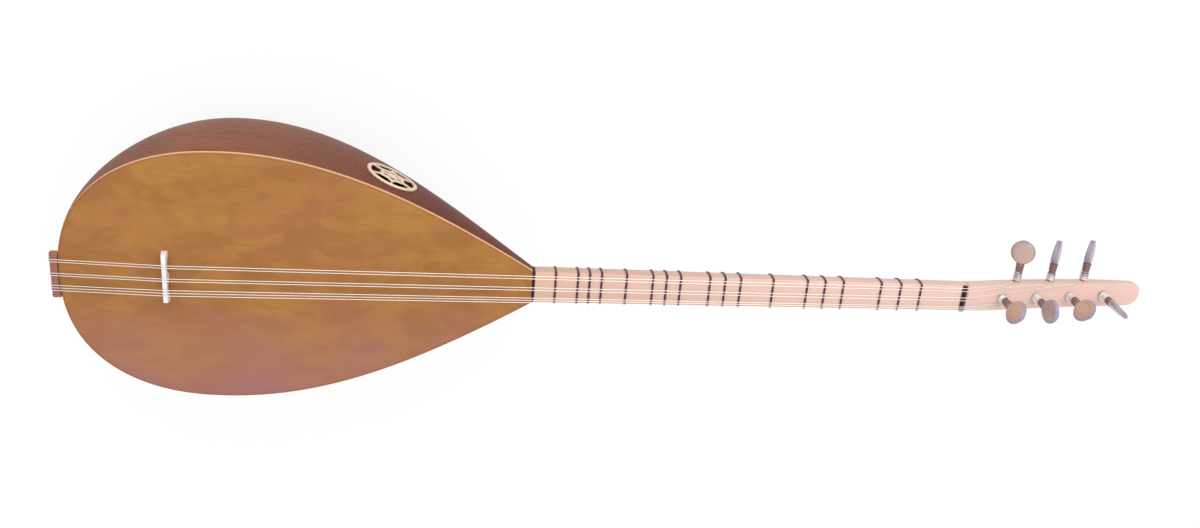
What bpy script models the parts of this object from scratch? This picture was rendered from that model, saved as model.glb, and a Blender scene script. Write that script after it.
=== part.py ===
"""A saz (short-neck baglama): carved bowl, soundboard, neck with tied frets, bent-back head, seven strings.

Units are metres and +Z is up. Sizes are given in the instrument's own frame: X runs from the bridge, at 0,
towards the head, Y runs across the strings, and Z rises from the playing face. An empty named instrument
carries every piece and puts the bottom centre of the whole instrument on the world's origin.
"""

import math

import bmesh
import bpy
import numpy as np
from mathutils import Matrix, Vector

# Clearances
SEAT = 0.0003  # gap between pieces that touch
TURN_GAP = 0.00045  # gap between neighbouring turns of a winding

# Lengths along the strings
STRING_LENGTH = 0.720  # bridge to nut
NECK_SHARE = 5 / 9  # of the string length, from the nut to the bowl
BOARD_TAIL = 0.090  # soundboard behind the bridge
HEAD_LENGTH = 0.1795

# Bowl and soundboard
BOWL_HALF_WIDTH = 0.119
BOWL_DEPTH = 0.200
BELLY_X = 0.050  # widest and deepest place
NECK_SIDE_FULLNESS = 0.976  # powers that shape the outline and the keel
TAIL_SIDE_FULLNESS = 2.305
KEEL_NECK_FULLNESS = 1.10
KEEL_TAIL_FULLNESS = 0.78
SECTION_FULLNESS = 2.56
TAIL_BULGE = 0.015  # how far the tail swells below the soundboard's edge
TAIL_FLAT = 0.001  # the first full section lies this far from the tail
TAIL_EDGE_DEPTH = 0.0062  # height of the bowl's edge at the very tail
BULGE_LIMIT = math.sin(math.radians(45))  # the tail's swelling is the same from here down to the keel
WALL = 0.006
TAIL_WALL = 0.010
NECK_BLOCK = 0.045  # solid wood between the hollow and the neck
HOLLOW_ROUNDING = 0.040  # length over which the hollow closes at each end
HOLLOW_END_SHARE = 0.97
HOLLOW_FULLNESS = 2.5
BOARD_THICKNESS = 0.004
BINDING_WIDTH = 0.0010
BRACE_WIDTH = 0.008
BRACE_HEIGHT = 0.013
BRACE_END_RISE = 0.040  # length over which a brace thins to its end
BRACE_TIP_HEIGHT = 0.004
BRACE_PLACES = {"brace_bridge": 0.030, "brace_upper": 0.150}

# Rosette and sound hole, in the bowl's side
ROSETTE_X = 0.1919
ROSETTE_HEIGHT = -0.042
ROSETTE_RADIUS = 0.0255
ROSETTE_RING = 0.0042
ROSETTE_THICKNESS = 0.0018
ROSETTE_POINTS = 8
ROSETTE_BARS = 0.0022
ROSETTE_MIDDLE_RADIUS = 0.0135
ROSETTE_HUB_RADIUS = 0.0058
ROSETTE_SEAT_WIDTH = 0.0035
ROSETTE_CUT_DEPTH = 0.030

# Neck
NECK_HALF_WIDTH_JOINT = 0.0151
NECK_HALF_WIDTH_NUT = 0.0130
NECK_DEPTH_JOINT = 0.0245
NECK_DEPTH_NUT = 0.0210
NECK_FULLNESS = 2.7
JOINT_BAND_WIDTH = 0.002
TENON_LENGTH = 0.028
TENON_WIDTH = 0.013
TENON_TOP = 0.007  # below the playing face
TENON_HEIGHT = 0.011

# Head
HEAD_BEND = math.radians(6.2)
HEAD_SHOULDER = 0.012  # length from the neck to the head's full width
HEAD_HALF_WIDTH = 0.01375
HEAD_TAPER_END = 0.110
HEAD_HALF_WIDTH_END = 0.0122
HEAD_CORNER = 0.0108
HEAD_DEPTH = 0.0180
HEAD_DEPTH_END = 0.0160
HEAD_FULLNESS = 3.2

# Nut, bridge and tailpiece
NUT_WIDTH = 0.004
NUT_HEIGHT = 0.0012  # under the strings
NUT_SLOT = 0.0018
NUT_MARGIN = 0.0015  # neck wood behind the nut
NOTCH = 0.0005
BRIDGE_HEIGHT = 0.0090
BRIDGE_HALF_LENGTH = 0.024
BRIDGE_CENTRE_Y = 0.0025
BRIDGE_BASE = 0.0028  # half of its width along the strings, at the feet
BRIDGE_TOP = 0.0015
BRIDGE_FOOT = 0.0055
BRIDGE_ARCH_HEIGHT = 0.0042
BRIDGE_SHOULDER = 0.0035
TAILPIECE_THICKNESS = 0.0065
TAILPIECE_HALF_WIDTH = 0.0213
TAILPIECE_RISE = 0.0012  # above the soundboard
TAILPIECE_DEPTH = 0.005
TAILPIECE_CORNER = 0.0015
TAILPIECE_CORNER_POINT = 0.0005  # where a string lies in the middle of its bend over the corner
TAILPIECE_REACH = 0.003  # of its inner side over the bowl's edge, before it is carved
TAILPIECE_CLEARANCE = 0.0005  # of its carved inner side to the bowl

# Strings
STRING_RADIUS = 0.00025
COURSES = (2, 2, 3)
COURSE_GAPS = {2: 0.0024, 3: 0.0027}  # between the strings of one course, at the bridge
TAIL_COURSE_GAPS = {2: 0.0022, 3: 0.00245}
NUT_COURSE_GAPS = {2: 0.0030, 3: 0.0018}
BRIDGE_COURSE_SPACING = 0.0127
TAIL_COURSE_SPACING = 0.0131
TAIL_CENTRE_Y = 0.0016
NUT_COURSE_SPACING = 0.0098
STRING_HOOK = 0.0020

# Frets, in cents above the open string
FRETS_OF_FIRST_OCTAVE = (100, 150, 200, 300, 350, 400, 500, 600, 650, 700, 800, 850, 900, 1000, 1100, 1150, 1200)
FRET_CENTS = FRETS_OF_FIRST_OCTAVE + (1300,)
OCTAVE_CENTS = 1200
FRET_TURNS = 3
NYLON_DIAMETER = 0.00075
FRET_VALLEY_SHARE = 0.55

# Pegs
FIRST_PEG = 0.0353  # from the neck, along the head
PEG_PITCH = 0.0350
FRONT_PEGS = 4
SIDE_PEGS = 3
SIDE_PEG_DEPTH = 0.0095  # below the head's face
PEG_RADIUS = 0.0031  # at the wood
PEG_TAPER = 0.015
PEG_END_MARGIN = 0.002  # of head wood beyond a peg's hidden end
PEG_HOLE_CLEARANCE = 0.0003
PEG_NECK_HEIGHT = 0.0155  # from the wood to the waist ring
WAIST_RING_RADIUS = 0.0040
WAIST_RING_HEIGHT = 0.0028
WAIST_RING_SHAPE = {0.25: 0.85, 0.5: 1.0, 0.75: 0.85}  # share of its radius at shares of its height
PADDLE_CENTRE = 0.0300
PADDLE_RADIUS = 0.01125
PADDLE_BASE_THICKNESS = 0.0036  # half thickness at the waist
PADDLE_TIP_THICKNESS = 0.0021
PADDLE_FULLNESS = 2.4
PADDLE_SPAN = (math.radians(18), math.radians(172))  # turns round its rim that its sections cover
FRONT_PEG_TURNS = (60.0, 82.0, 50.0, -42.0)  # degrees of each paddle about its peg
SIDE_PEG_TURNS = (-35.0, 47.0, 46.0)
WINDING_START = 0.0013  # from the wood to the first turn
WINDING_TURNS = {"front": (5, 7, 5, 7), "side": (5, 5, 5)}

# Facets
SHARP_ANGLE = math.radians(40)
STATIONS_TAIL = 11
STATIONS_NECK = 20
BOWL_STEPS = 22
HOLLOW_STEPS = 14
NECK_STEPS = 14
HEAD_CORNER_STEPS = 5
PEG_SIDES = 12
HOLE_SIDES = 16
PADDLE_STEPS = 8
TURN_POINTS = 11
ARCH_STEPS = 6

# Places worked out from the sizes above
JOINT_X = STRING_LENGTH * (1 - NECK_SHARE)
TAIL_X = -BOARD_TAIL
BOWL_END_X = JOINT_X - JOINT_BAND_WIDTH / 2 - SEAT
NECK_START_X = JOINT_X + JOINT_BAND_WIDTH / 2 + SEAT
NECK_END_X = STRING_LENGTH + NUT_WIDTH + NUT_MARGIN
HEAD_X = NECK_END_X + SEAT
HEAD_ALONG = Vector((math.cos(HEAD_BEND), 0, -math.sin(HEAD_BEND)))
HEAD_NORMAL = Vector((math.sin(HEAD_BEND), 0, math.cos(HEAD_BEND)))
RIM_DEPTH = BOARD_THICKNESS + SEAT
TAILPIECE_X = TAIL_X - SEAT - TAILPIECE_THICKNESS
STRING_REACH = SEAT + STRING_RADIUS
LOWEST_X = TAILPIECE_X - STRING_REACH - STRING_RADIUS
HIGHEST_X = HEAD_X + HEAD_LENGTH * math.cos(HEAD_BEND)
SOUND_HOLE_RADIUS = ROSETTE_RADIUS - ROSETTE_SEAT_WIDTH
BRIDGE_STRING_HEIGHT = BRIDGE_HEIGHT + STRING_REACH
NUT_STRING_HEIGHT = NUT_HEIGHT + STRING_REACH
FRET_HALF_WIDTH = FRET_TURNS * NYLON_DIAMETER / 2
TURN_PITCH = 2 * STRING_RADIUS + TURN_GAP


def finish(name, colour, roughness, metallic=0.0):
    """A plain Principled material."""
    material = bpy.data.materials.new(name)
    material.use_nodes = True
    shader = material.node_tree.nodes["Principled BSDF"]
    shader.inputs["Base Color"].default_value = (*colour, 1.0)
    shader.inputs["Roughness"].default_value = roughness
    shader.inputs["Metallic"].default_value = metallic
    return material


def add_empty(name, matrix, parent=None):
    """An empty that carries other pieces, placed in its parent's frame."""
    empty = bpy.data.objects.new(name, None)
    bpy.context.scene.collection.objects.link(empty)
    empty.parent = parent
    empty.matrix_local = matrix
    return empty


def add_solid(name, points, faces, material, parent):
    """A mesh object from points and faces in its parent's frame, with doubled points merged and faces turned out."""
    shape = bmesh.new()
    corners = [shape.verts.new(point) for point in points]
    for face in faces:
        shape.faces.new([corners[index] for index in face])
    bmesh.ops.remove_doubles(shape, verts=shape.verts, dist=SEAT / 1000)
    bmesh.ops.recalc_face_normals(shape, faces=shape.faces)
    mesh = bpy.data.meshes.new(name)
    shape.to_mesh(mesh)
    shape.free()
    mesh.shade_smooth()
    mesh.set_sharp_from_angle(angle=SHARP_ANGLE)
    if material:
        mesh.materials.append(material)
    item = bpy.data.objects.new(name, mesh)
    bpy.context.scene.collection.objects.link(item)
    item.parent = parent
    return item


def loft(rings, first_end=True, ring_shaped=False):
    """Points and faces of a closed skin through rings of equal length.

    Its ends are flat. The first end is left off where that ring has no width, and a ring-shaped skin meets itself.
    """
    count = len(rings[0])
    points = [point for ring in rings for point in ring]
    faces = []
    for row in range(len(rings) if ring_shaped else len(rings) - 1):
        start = count * row
        onward = count * ((row + 1) % len(rings))
        for index in range(count):
            after = (index + 1) % count
            faces.append((start + index, start + after, onward + after, onward + index))
    if not ring_shaped:
        faces.append(tuple(range(count * (len(rings) - 1), count * len(rings))))
        if first_end:
            faces.append(tuple(range(count)))
    return points, faces


def block(low, high):
    """Points and faces of a box between two corners."""
    rings = []
    for x in (low[0], high[0]):
        rings.append([(x, low[1], low[2]), (x, high[1], low[2]), (x, high[1], high[2]), (x, low[1], high[2])])
    return loft(rings)


def shape_with(target, tool, operation):
    """Cuts target with tool, or joins tool to it. The tool itself isn't part of the instrument."""
    tool.hide_render = True
    tool.display_type = "WIRE"
    modifier = target.modifiers.new(tool.name, "BOOLEAN")
    modifier.operation = operation
    modifier.object = tool


def add_tube(name, points, radius, material, parent):
    """A round wire through points, in its parent's frame."""
    curve = bpy.data.curves.new(name, "CURVE")
    curve.dimensions = "3D"
    curve.bevel_depth = radius
    curve.bevel_resolution = 1
    curve.use_fill_caps = True
    spline = curve.splines.new("POLY")
    spline.points.add(len(points) - 1)
    for target, point in zip(spline.points, points):
        target.co = (*point, 1.0)
    curve.materials.append(material)
    wire = bpy.data.objects.new(name, curve)
    bpy.context.scene.collection.objects.link(wire)
    wire.parent = parent
    return wire


def bowl_half_width(x):
    """Half width of the bowl and soundboard at x."""
    if x >= BELLY_X:
        share = min(1.0, (x - BELLY_X) / (JOINT_X - BELLY_X))
        swell = max(0.0, math.cos(math.pi * share / 2)) ** NECK_SIDE_FULLNESS
        return NECK_HALF_WIDTH_JOINT + (BOWL_HALF_WIDTH - NECK_HALF_WIDTH_JOINT) * swell
    share = min(1.0, (BELLY_X - x) / (BELLY_X - TAIL_X))
    return BOWL_HALF_WIDTH * (1 - share**TAIL_SIDE_FULLNESS) ** (1 / TAIL_SIDE_FULLNESS)


def bowl_depth(x):
    """Depth of the keel under the playing face at x."""
    if x >= BELLY_X:
        share = min(1.0, (x - BELLY_X) / (JOINT_X - BELLY_X))
        swell = max(0.0, math.cos(math.pi * share / 2)) ** KEEL_NECK_FULLNESS
        return NECK_DEPTH_JOINT + (BOWL_DEPTH - NECK_DEPTH_JOINT) * swell
    share = min(1.0, (BELLY_X - x) / (BELLY_X - TAIL_X))
    return BOWL_DEPTH * (1 - share**2) ** KEEL_TAIL_FULLNESS


def tail_bulge(x):
    """How far the bowl's side swells towards the tail at x."""
    share = max(0.0, (BELLY_X - x) / (BELLY_X - TAIL_X))
    return TAIL_BULGE * share**2 * math.sqrt(max(0.0, 1 - share**6))


def half_round(half_width, depth, fullness, steps, top=0.0):
    """(y, z) points from one edge of a flat face round the back to the other edge, starting top below the face."""
    first = math.asin((top / depth) ** (fullness / 2))
    points = []
    for angle in np.linspace(first, math.pi - first, steps + 1):
        across = math.cos(angle)
        y = half_width * math.copysign(abs(across) ** (2 / fullness), across)
        z = -depth * math.sin(angle) ** (2 / fullness)
        points.append((y, z))
    return points


def bowl_stations():
    """x of each section of the bowl, closer together where it curves more."""
    first = TAIL_X + TAIL_FLAT
    tail = [first + (BELLY_X - first) * (1 - math.cos(math.pi * i / STATIONS_TAIL / 2)) for i in range(STATIONS_TAIL)]
    neck = [BELLY_X + (BOWL_END_X - BELLY_X) * i / STATIONS_NECK for i in range(STATIONS_NECK + 1)]
    return tail + neck


def bowl_ring(x):
    """Outer section of the bowl at x, from one edge round the keel to the other."""
    depth = bowl_depth(x)
    section = half_round(bowl_half_width(x), depth, SECTION_FULLNESS, BOWL_STEPS, RIM_DEPTH)
    bulge = tail_bulge(x)
    ring = []
    for y, z in section:
        rise = min(BULGE_LIMIT, (-z / depth) ** (SECTION_FULLNESS / 2))
        swing = 2 * rise * math.sqrt(1 - rise**2)
        ring.append((x - bulge * swing, y, z))
    return ring


def tail_edge_ring(x, count):
    """The bowl's upright edge at the tail, as a section with no width."""
    first = -RIM_DEPTH
    last = -TAIL_EDGE_DEPTH
    return [(x, 0.0, first + (last - first) * math.sin(math.pi * i / (count - 1))) for i in range(count)]


def hollow_section(x):
    """Half width and depth of the bowl's hollow at x."""
    tail_end = TAIL_X + TAIL_WALL
    neck_end = BOWL_END_X - NECK_BLOCK
    tail_share = max(0.0, 1 - (x - tail_end) / HOLLOW_ROUNDING)
    neck_share = max(0.0, 1 - (neck_end - x) / HOLLOW_ROUNDING)
    share = min(1.0, max(tail_share, neck_share))
    closing = (1 - share**HOLLOW_FULLNESS) ** (1 / HOLLOW_FULLNESS)
    return (bowl_half_width(x) - WALL) * closing, (bowl_depth(x) - WALL) * closing


def hollow_stations(count):
    """x of each section of the hollow, as many as the bowl has outside."""
    margin = HOLLOW_ROUNDING * (1 - HOLLOW_END_SHARE)
    first = TAIL_X + TAIL_WALL + margin
    last = BOWL_END_X - NECK_BLOCK - margin
    middle = (first + last) / 2
    return [middle - (last - first) / 2 * math.cos(math.pi * i / (count - 1)) for i in range(count)]


def bowl_surface(x, height):
    """Point of the bowl's +Y side at x and height, and the outward direction there."""

    def across(at_x, at_height):
        share = (-at_height / bowl_depth(at_x)) ** SECTION_FULLNESS
        return bowl_half_width(at_x) * (1 - share) ** (1 / SECTION_FULLNESS)

    step = SEAT
    here = Vector((x, across(x, height), height))
    along = Vector((2 * step, across(x + step, height) - across(x - step, height), 0))
    upward = Vector((0, across(x, height + step) - across(x, height - step), 2 * step))
    return here, upward.cross(along).normalized()


def rosette_frame():
    """Frame of the sound hole: its origin on the bowl's surface, local Z outwards, local X along the bowl."""
    centre, outward = bowl_surface(ROSETTE_X, ROSETTE_HEIGHT)
    along = Vector((1, 0, 0))
    along = (along - outward * along.dot(outward)).normalized()
    across = outward.cross(along)
    frame = Matrix((along, across, outward)).transposed().to_4x4()
    frame.translation = centre
    return frame


def height_over_rosette_plane(frame, x, y):
    """Local height of the bowl's surface over a point of the rosette's plane, by halving."""

    def outside(z):
        point = frame @ Vector((x, y, z))
        width = abs(point.y / bowl_half_width(point.x)) ** SECTION_FULLNESS
        return width + abs(point.z / bowl_depth(point.x)) ** SECTION_FULLNESS > 1

    low, high = -ROSETTE_RADIUS, ROSETTE_RADIUS
    while high - low > SEAT / 100:
        middle = (low + high) / 2
        low, high = (low, middle) if outside(middle) else (middle, high)
    return low


def add_bowl(instrument, material):
    """The carved bowl: outer skin, hollow, rim under the soundboard, sound hole and socket for the neck's tenon."""
    stations = bowl_stations()
    inner_stations = hollow_stations(len(stations))
    outer_count = BOWL_STEPS + 1
    inner_count = HOLLOW_STEPS + 1
    points = tail_edge_ring(TAIL_X, outer_count)
    for x in stations:
        points += bowl_ring(x)
    inner_start = len(points)
    for x in inner_stations:
        half_width, depth = hollow_section(x)
        ring = half_round(half_width, depth, SECTION_FULLNESS, HOLLOW_STEPS, RIM_DEPTH)
        points += [(x, y, z) for y, z in ring]
    faces = []

    def skin(start, rows, count):
        for row in range(rows - 1):
            for index in range(count - 1):
                corner = start + row * count + index
                faces.append((corner, corner + 1, corner + count + 1, corner + count))

    skin(0, len(stations) + 1, outer_count)
    skin(inner_start, len(stations), inner_count)
    last = len(stations) - 1
    outer = [outer_count * (row + 1) for row in range(len(stations))]
    inner = [inner_start + inner_count * row for row in range(len(stations))]
    for row in range(last):
        for a, b in ((0, 0), (outer_count - 1, inner_count - 1)):
            faces.append((outer[row] + a, outer[row + 1] + a, inner[row + 1] + b, inner[row] + b))
    far, near = outer_count - 1, inner_count - 1
    faces.append((0, outer[0], inner[0], inner[0] + near, outer[0] + far))
    faces.append((outer[last], inner[last], inner[last] + near, outer[last] + far))
    faces.append(tuple(range(outer[last], outer[last] + outer_count)))
    faces.append(tuple(range(inner[0], inner[0] + inner_count)))
    faces.append(tuple(range(inner[last], inner[last] + inner_count)))
    for index in range(len(faces)):
        faces[index] = tuple(dict.fromkeys(faces[index]))
    bowl = add_solid("bowl", points, faces, material, instrument)

    hole = [
        (SOUND_HOLE_RADIUS * math.cos(turn), SOUND_HOLE_RADIUS * math.sin(turn))
        for turn in np.linspace(0, math.tau, 2 * HOLE_SIDES, endpoint=False)
    ]
    rings = [[(x, y, z) for x, y in hole] for z in (-ROSETTE_CUT_DEPTH, ROSETTE_CUT_DEPTH)]
    cutter = add_solid("sound_hole_cutter", *loft(rings), None, instrument)
    cutter.matrix_local = rosette_frame()
    shape_with(bowl, cutter, "DIFFERENCE")
    low, high = tenon_box(SEAT)
    socket = add_solid("socket_cutter", *block(low, high), None, instrument)
    shape_with(bowl, socket, "DIFFERENCE")
    return bowl


def tenon_box(grow):
    """Two corners of the neck's tenon, or with a clearance of its socket."""
    low = (NECK_START_X - TENON_LENGTH - grow, -TENON_WIDTH / 2 - grow, -TENON_TOP - TENON_HEIGHT - grow)
    high = (NECK_START_X + TENON_LENGTH / 2, TENON_WIDTH / 2 + grow, -TENON_TOP + grow)
    return low, high


def rim_outline(inset):
    """(x, y) points of the soundboard's outline from the neck's +Y corner round the tail, drawn in by inset."""
    side = [(x, bowl_half_width(x)) for x in reversed(bowl_stations())]
    outline = side + [(TAIL_X, 0.0)] + [(x, -y) for x, y in reversed(side)]
    points = [Vector(point) for point in outline]
    drawn = []
    for index, point in enumerate(points):
        before = points[max(index - 1, 0)]
        after = points[min(index + 1, len(points) - 1)]
        came = (point - before) if index else (after - point)
        goes = (after - point) if index < len(points) - 1 else (point - before)
        came_in = Vector((-came.y, came.x)).normalized()
        goes_in = Vector((-goes.y, goes.x)).normalized()
        inward = (came_in + goes_in).normalized()
        drawn.append(point + inward * (inset / inward.dot(came_in)))
    for end in (0, -1):
        other = drawn[1] if end == 0 else drawn[-2]
        share = (BOWL_END_X - other.x) / (drawn[end].x - other.x)
        drawn[end] = other + (drawn[end] - other) * share
    return drawn


def add_soundboard(instrument, material):
    """The plate that closes the bowl, inside its binding."""
    outline = rim_outline(BINDING_WIDTH + SEAT)
    rings = [[(p.x, p.y, z) for p in outline] for z in (-BOARD_THICKNESS, 0.0)]
    return add_solid("soundboard", *loft(rings), material, instrument)


def add_binding(instrument, material):
    """The strip round the soundboard's edge."""
    outer = rim_outline(0.0)
    inner = rim_outline(BINDING_WIDTH)
    rings = []
    for out, within in zip(outer, inner):
        ring = [(out.x, out.y, 0.0), (within.x, within.y, 0.0)]
        ring += [(within.x, within.y, -BOARD_THICKNESS), (out.x, out.y, -BOARD_THICKNESS)]
        rings.append(ring)
    return add_solid("edge_binding", *loft(rings), material, instrument)


def add_braces(instrument, material):
    """Two bars under the soundboard, thinned towards both ends."""
    for name, x in BRACE_PLACES.items():
        reach = min(hollow_section(x - BRACE_WIDTH / 2)[0], hollow_section(x + BRACE_WIDTH / 2)[0]) - 2 * SEAT
        top = -BOARD_THICKNESS - SEAT
        side = [
            (-reach, top),
            (-reach, top - BRACE_TIP_HEIGHT),
            (-reach + BRACE_END_RISE, top - BRACE_HEIGHT),
            (reach - BRACE_END_RISE, top - BRACE_HEIGHT),
            (reach, top - BRACE_TIP_HEIGHT),
            (reach, top),
        ]
        rings = [[(x + offset, y, z) for y, z in side] for offset in (-BRACE_WIDTH / 2, BRACE_WIDTH / 2)]
        add_solid(name, *loft(rings), material, instrument)


def add_rosette(instrument, material):
    """A pierced disc on the sound hole: a ring, a middle ring and a hub, joined by two sets of bars.

    Its plan is a grid of rings and sectors with the openings left out, laid on the bowl's curved side.
    """
    frame = rosette_frame()
    inner_edge = ROSETTE_RADIUS - ROSETTE_RING
    radii = [0.0, ROSETTE_HUB_RADIUS, ROSETTE_MIDDLE_RADIUS - ROSETTE_BARS, ROSETTE_MIDDLE_RADIUS]
    radii += [(ROSETTE_MIDDLE_RADIUS + inner_edge) / 2, inner_edge, ROSETTE_RADIUS]
    sector = math.tau / ROSETTE_POINTS
    outer_bar = math.asin(ROSETTE_BARS / (ROSETTE_MIDDLE_RADIUS + inner_edge))
    inner_bar = math.asin(ROSETTE_BARS / (ROSETTE_HUB_RADIUS + ROSETTE_MIDDLE_RADIUS))
    turns = []
    for index in range(ROSETTE_POINTS):
        start = index * sector
        turns += [start - outer_bar, start + outer_bar]
        turns += [start + sector / 2 - inner_bar, start + sector / 2 + inner_bar]
    columns = len(turns)
    openings = set()
    for column in range(columns):
        if column % 4 != 2:
            openings.add((1, column))
        if column % 4 != 0:
            openings |= {(3, column), (4, column)}
    layers = []
    for lift in (SEAT, SEAT + ROSETTE_THICKNESS):
        layer = [(0.0, 0.0, height_over_rosette_plane(frame, 0.0, 0.0) + lift)]
        for radius in radii[1:]:
            for turn in turns:
                x, y = radius * math.cos(turn), radius * math.sin(turn)
                layer.append((x, y, height_over_rosette_plane(frame, x, y) + lift))
        layers.append(layer)
    size = len(layers[0])

    def corner(ring, column):
        return 0 if ring == 0 else 1 + (ring - 1) * columns + column % columns

    faces = []
    rim_sides = []
    for ring in range(len(radii) - 1):
        for column in range(columns):
            if (ring, column) in openings:
                continue
            quad = [corner(ring, column), corner(ring, column + 1)]
            quad += [corner(ring + 1, column + 1), corner(ring + 1, column)]
            quad = list(dict.fromkeys(quad))
            faces.append(tuple(quad))
            faces.append(tuple(size + index for index in quad))
            neighbours = ((ring - 1, column, 0, 1), (ring + 1, column, 3, 2))
            neighbours += ((ring, (column - 1) % columns, 0, 3), (ring, (column + 1) % columns, 1, 2))
            ends = [corner(ring, column), corner(ring, column + 1)]
            ends += [corner(ring + 1, column + 1), corner(ring + 1, column)]
            for beside_ring, beside_column, a, b in neighbours:
                is_open = (beside_ring, beside_column) in openings or beside_ring == len(radii) - 1
                if is_open and ends[a] != ends[b]:
                    rim_sides.append((ends[a], ends[b], size + ends[b], size + ends[a]))
    used = sorted({index for face in faces + rim_sides for index in face})
    number = {index: place for place, index in enumerate(used)}
    points = layers[0] + layers[1]
    points = [points[index] for index in used]
    faces = [tuple(number[index] for index in face) for face in faces + rim_sides]
    rosette = add_solid("rosette", points, faces, material, instrument)
    rosette.matrix_local = frame
    return rosette


def neck_section(x):
    """Half width and depth of the neck at x."""
    share = (x - JOINT_X) / (STRING_LENGTH - JOINT_X)
    half_width = NECK_HALF_WIDTH_JOINT + (NECK_HALF_WIDTH_NUT - NECK_HALF_WIDTH_JOINT) * share
    depth = NECK_DEPTH_JOINT + (NECK_DEPTH_NUT - NECK_DEPTH_JOINT) * share
    return half_width, depth


def neck_ring(x):
    """Section of the neck at x."""
    half_width, depth = neck_section(x)
    return [(x, y, z) for y, z in half_round(half_width, depth, NECK_FULLNESS, NECK_STEPS)]


def add_neck(instrument, material):
    """The neck with its tenon and the slot for the nut."""
    neck = add_solid("neck", *loft([neck_ring(NECK_START_X), neck_ring(NECK_END_X)]), material, instrument)
    tenon = add_solid("tenon_tool", *block(*tenon_box(0.0)), None, instrument)
    shape_with(neck, tenon, "UNION")
    low = (STRING_LENGTH - SEAT, -2 * NECK_HALF_WIDTH_NUT, -NUT_SLOT)
    high = (STRING_LENGTH + NUT_WIDTH + SEAT, 2 * NECK_HALF_WIDTH_NUT, NUT_SLOT)
    slot = add_solid("nut_slot_cutter", *block(low, high), None, instrument)
    shape_with(neck, slot, "DIFFERENCE")
    return neck


def add_joint_band(instrument, material):
    """The dark strip between bowl and neck, with the tenon passing through it."""
    rings = [neck_ring(x) for x in (JOINT_X - JOINT_BAND_WIDTH / 2, JOINT_X + JOINT_BAND_WIDTH / 2)]
    band = add_solid("joint_band", *loft(rings), material, instrument)
    low, high = tenon_box(SEAT)
    hole = add_solid("band_hole_cutter", *block(low, high), None, instrument)
    shape_with(band, hole, "DIFFERENCE")
    return band


def head_half_width(along):
    """Half width of the head's face at a distance from the neck."""
    if along < HEAD_SHOULDER:
        share = along / HEAD_SHOULDER
        start = neck_section(NECK_END_X)[0]
        return start + (HEAD_HALF_WIDTH - start) * share * share * (3 - 2 * share)
    share = min(1.0, (along - HEAD_SHOULDER) / (HEAD_TAPER_END - HEAD_SHOULDER))
    width = HEAD_HALF_WIDTH + (HEAD_HALF_WIDTH_END - HEAD_HALF_WIDTH) * share
    past = along - (HEAD_LENGTH - HEAD_CORNER)
    if past > 0:
        width -= HEAD_CORNER - math.sqrt(max(0.0, HEAD_CORNER**2 - past**2))
    return width


def head_depth(along):
    """Thickness of the head at a distance from the neck."""
    share = (along - HEAD_SHOULDER) / (HEAD_LENGTH - HEAD_SHOULDER)
    if share < 0:
        start = neck_section(NECK_END_X)[1]
        return HEAD_DEPTH + (start - HEAD_DEPTH) * (1 - along / HEAD_SHOULDER)
    return HEAD_DEPTH + (HEAD_DEPTH_END - HEAD_DEPTH) * share


def head_side(along, below):
    """Half width of the head at a depth below its face."""
    share = (below / head_depth(along)) ** HEAD_FULLNESS
    return head_half_width(along) * (1 - share) ** (1 / HEAD_FULLNESS)


def head_point(along, across, above):
    """A place given along, across and above the head's face, in the instrument's frame."""
    return Vector((HEAD_X, across, 0)) + HEAD_ALONG * along + HEAD_NORMAL * above


def peg_frames():
    """(kind, number, frame) of every peg, each frame's origin where the peg enters the wood and its Z outwards."""
    frames = []
    for index in range(FRONT_PEGS):
        frame = Matrix((HEAD_ALONG, HEAD_NORMAL.cross(HEAD_ALONG), HEAD_NORMAL)).transposed().to_4x4()
        frame.translation = head_point(FIRST_PEG + PEG_PITCH * index, 0, 0)
        frames.append(("front", index + 1, frame))
    for index in range(SIDE_PEGS):
        along = FIRST_PEG + PEG_PITCH * (index + 1 / 2)
        outward = Vector((0, 1, 0))
        frame = Matrix((HEAD_ALONG, outward.cross(HEAD_ALONG), outward)).transposed().to_4x4()
        frame.translation = head_point(along, head_side(along, SIDE_PEG_DEPTH), -SIDE_PEG_DEPTH)
        frames.append(("side", index + 1, frame))
    return frames


def peg_radius(height):
    """Radius of a peg's shank at a height over the wood."""
    return PEG_RADIUS + PEG_TAPER * height


def shank_depth(kind):
    """Length of a peg inside the head: it ends just under the far side."""
    if kind == "front":
        return HEAD_DEPTH_END - PEG_END_MARGIN
    return 2 * HEAD_HALF_WIDTH_END - PEG_END_MARGIN


def round_ring(radius, height, sides):
    """A circle of points at a height."""
    turns = np.linspace(0, math.tau, sides, endpoint=False)
    return [(radius * math.cos(turn), radius * math.sin(turn), height) for turn in turns]


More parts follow.
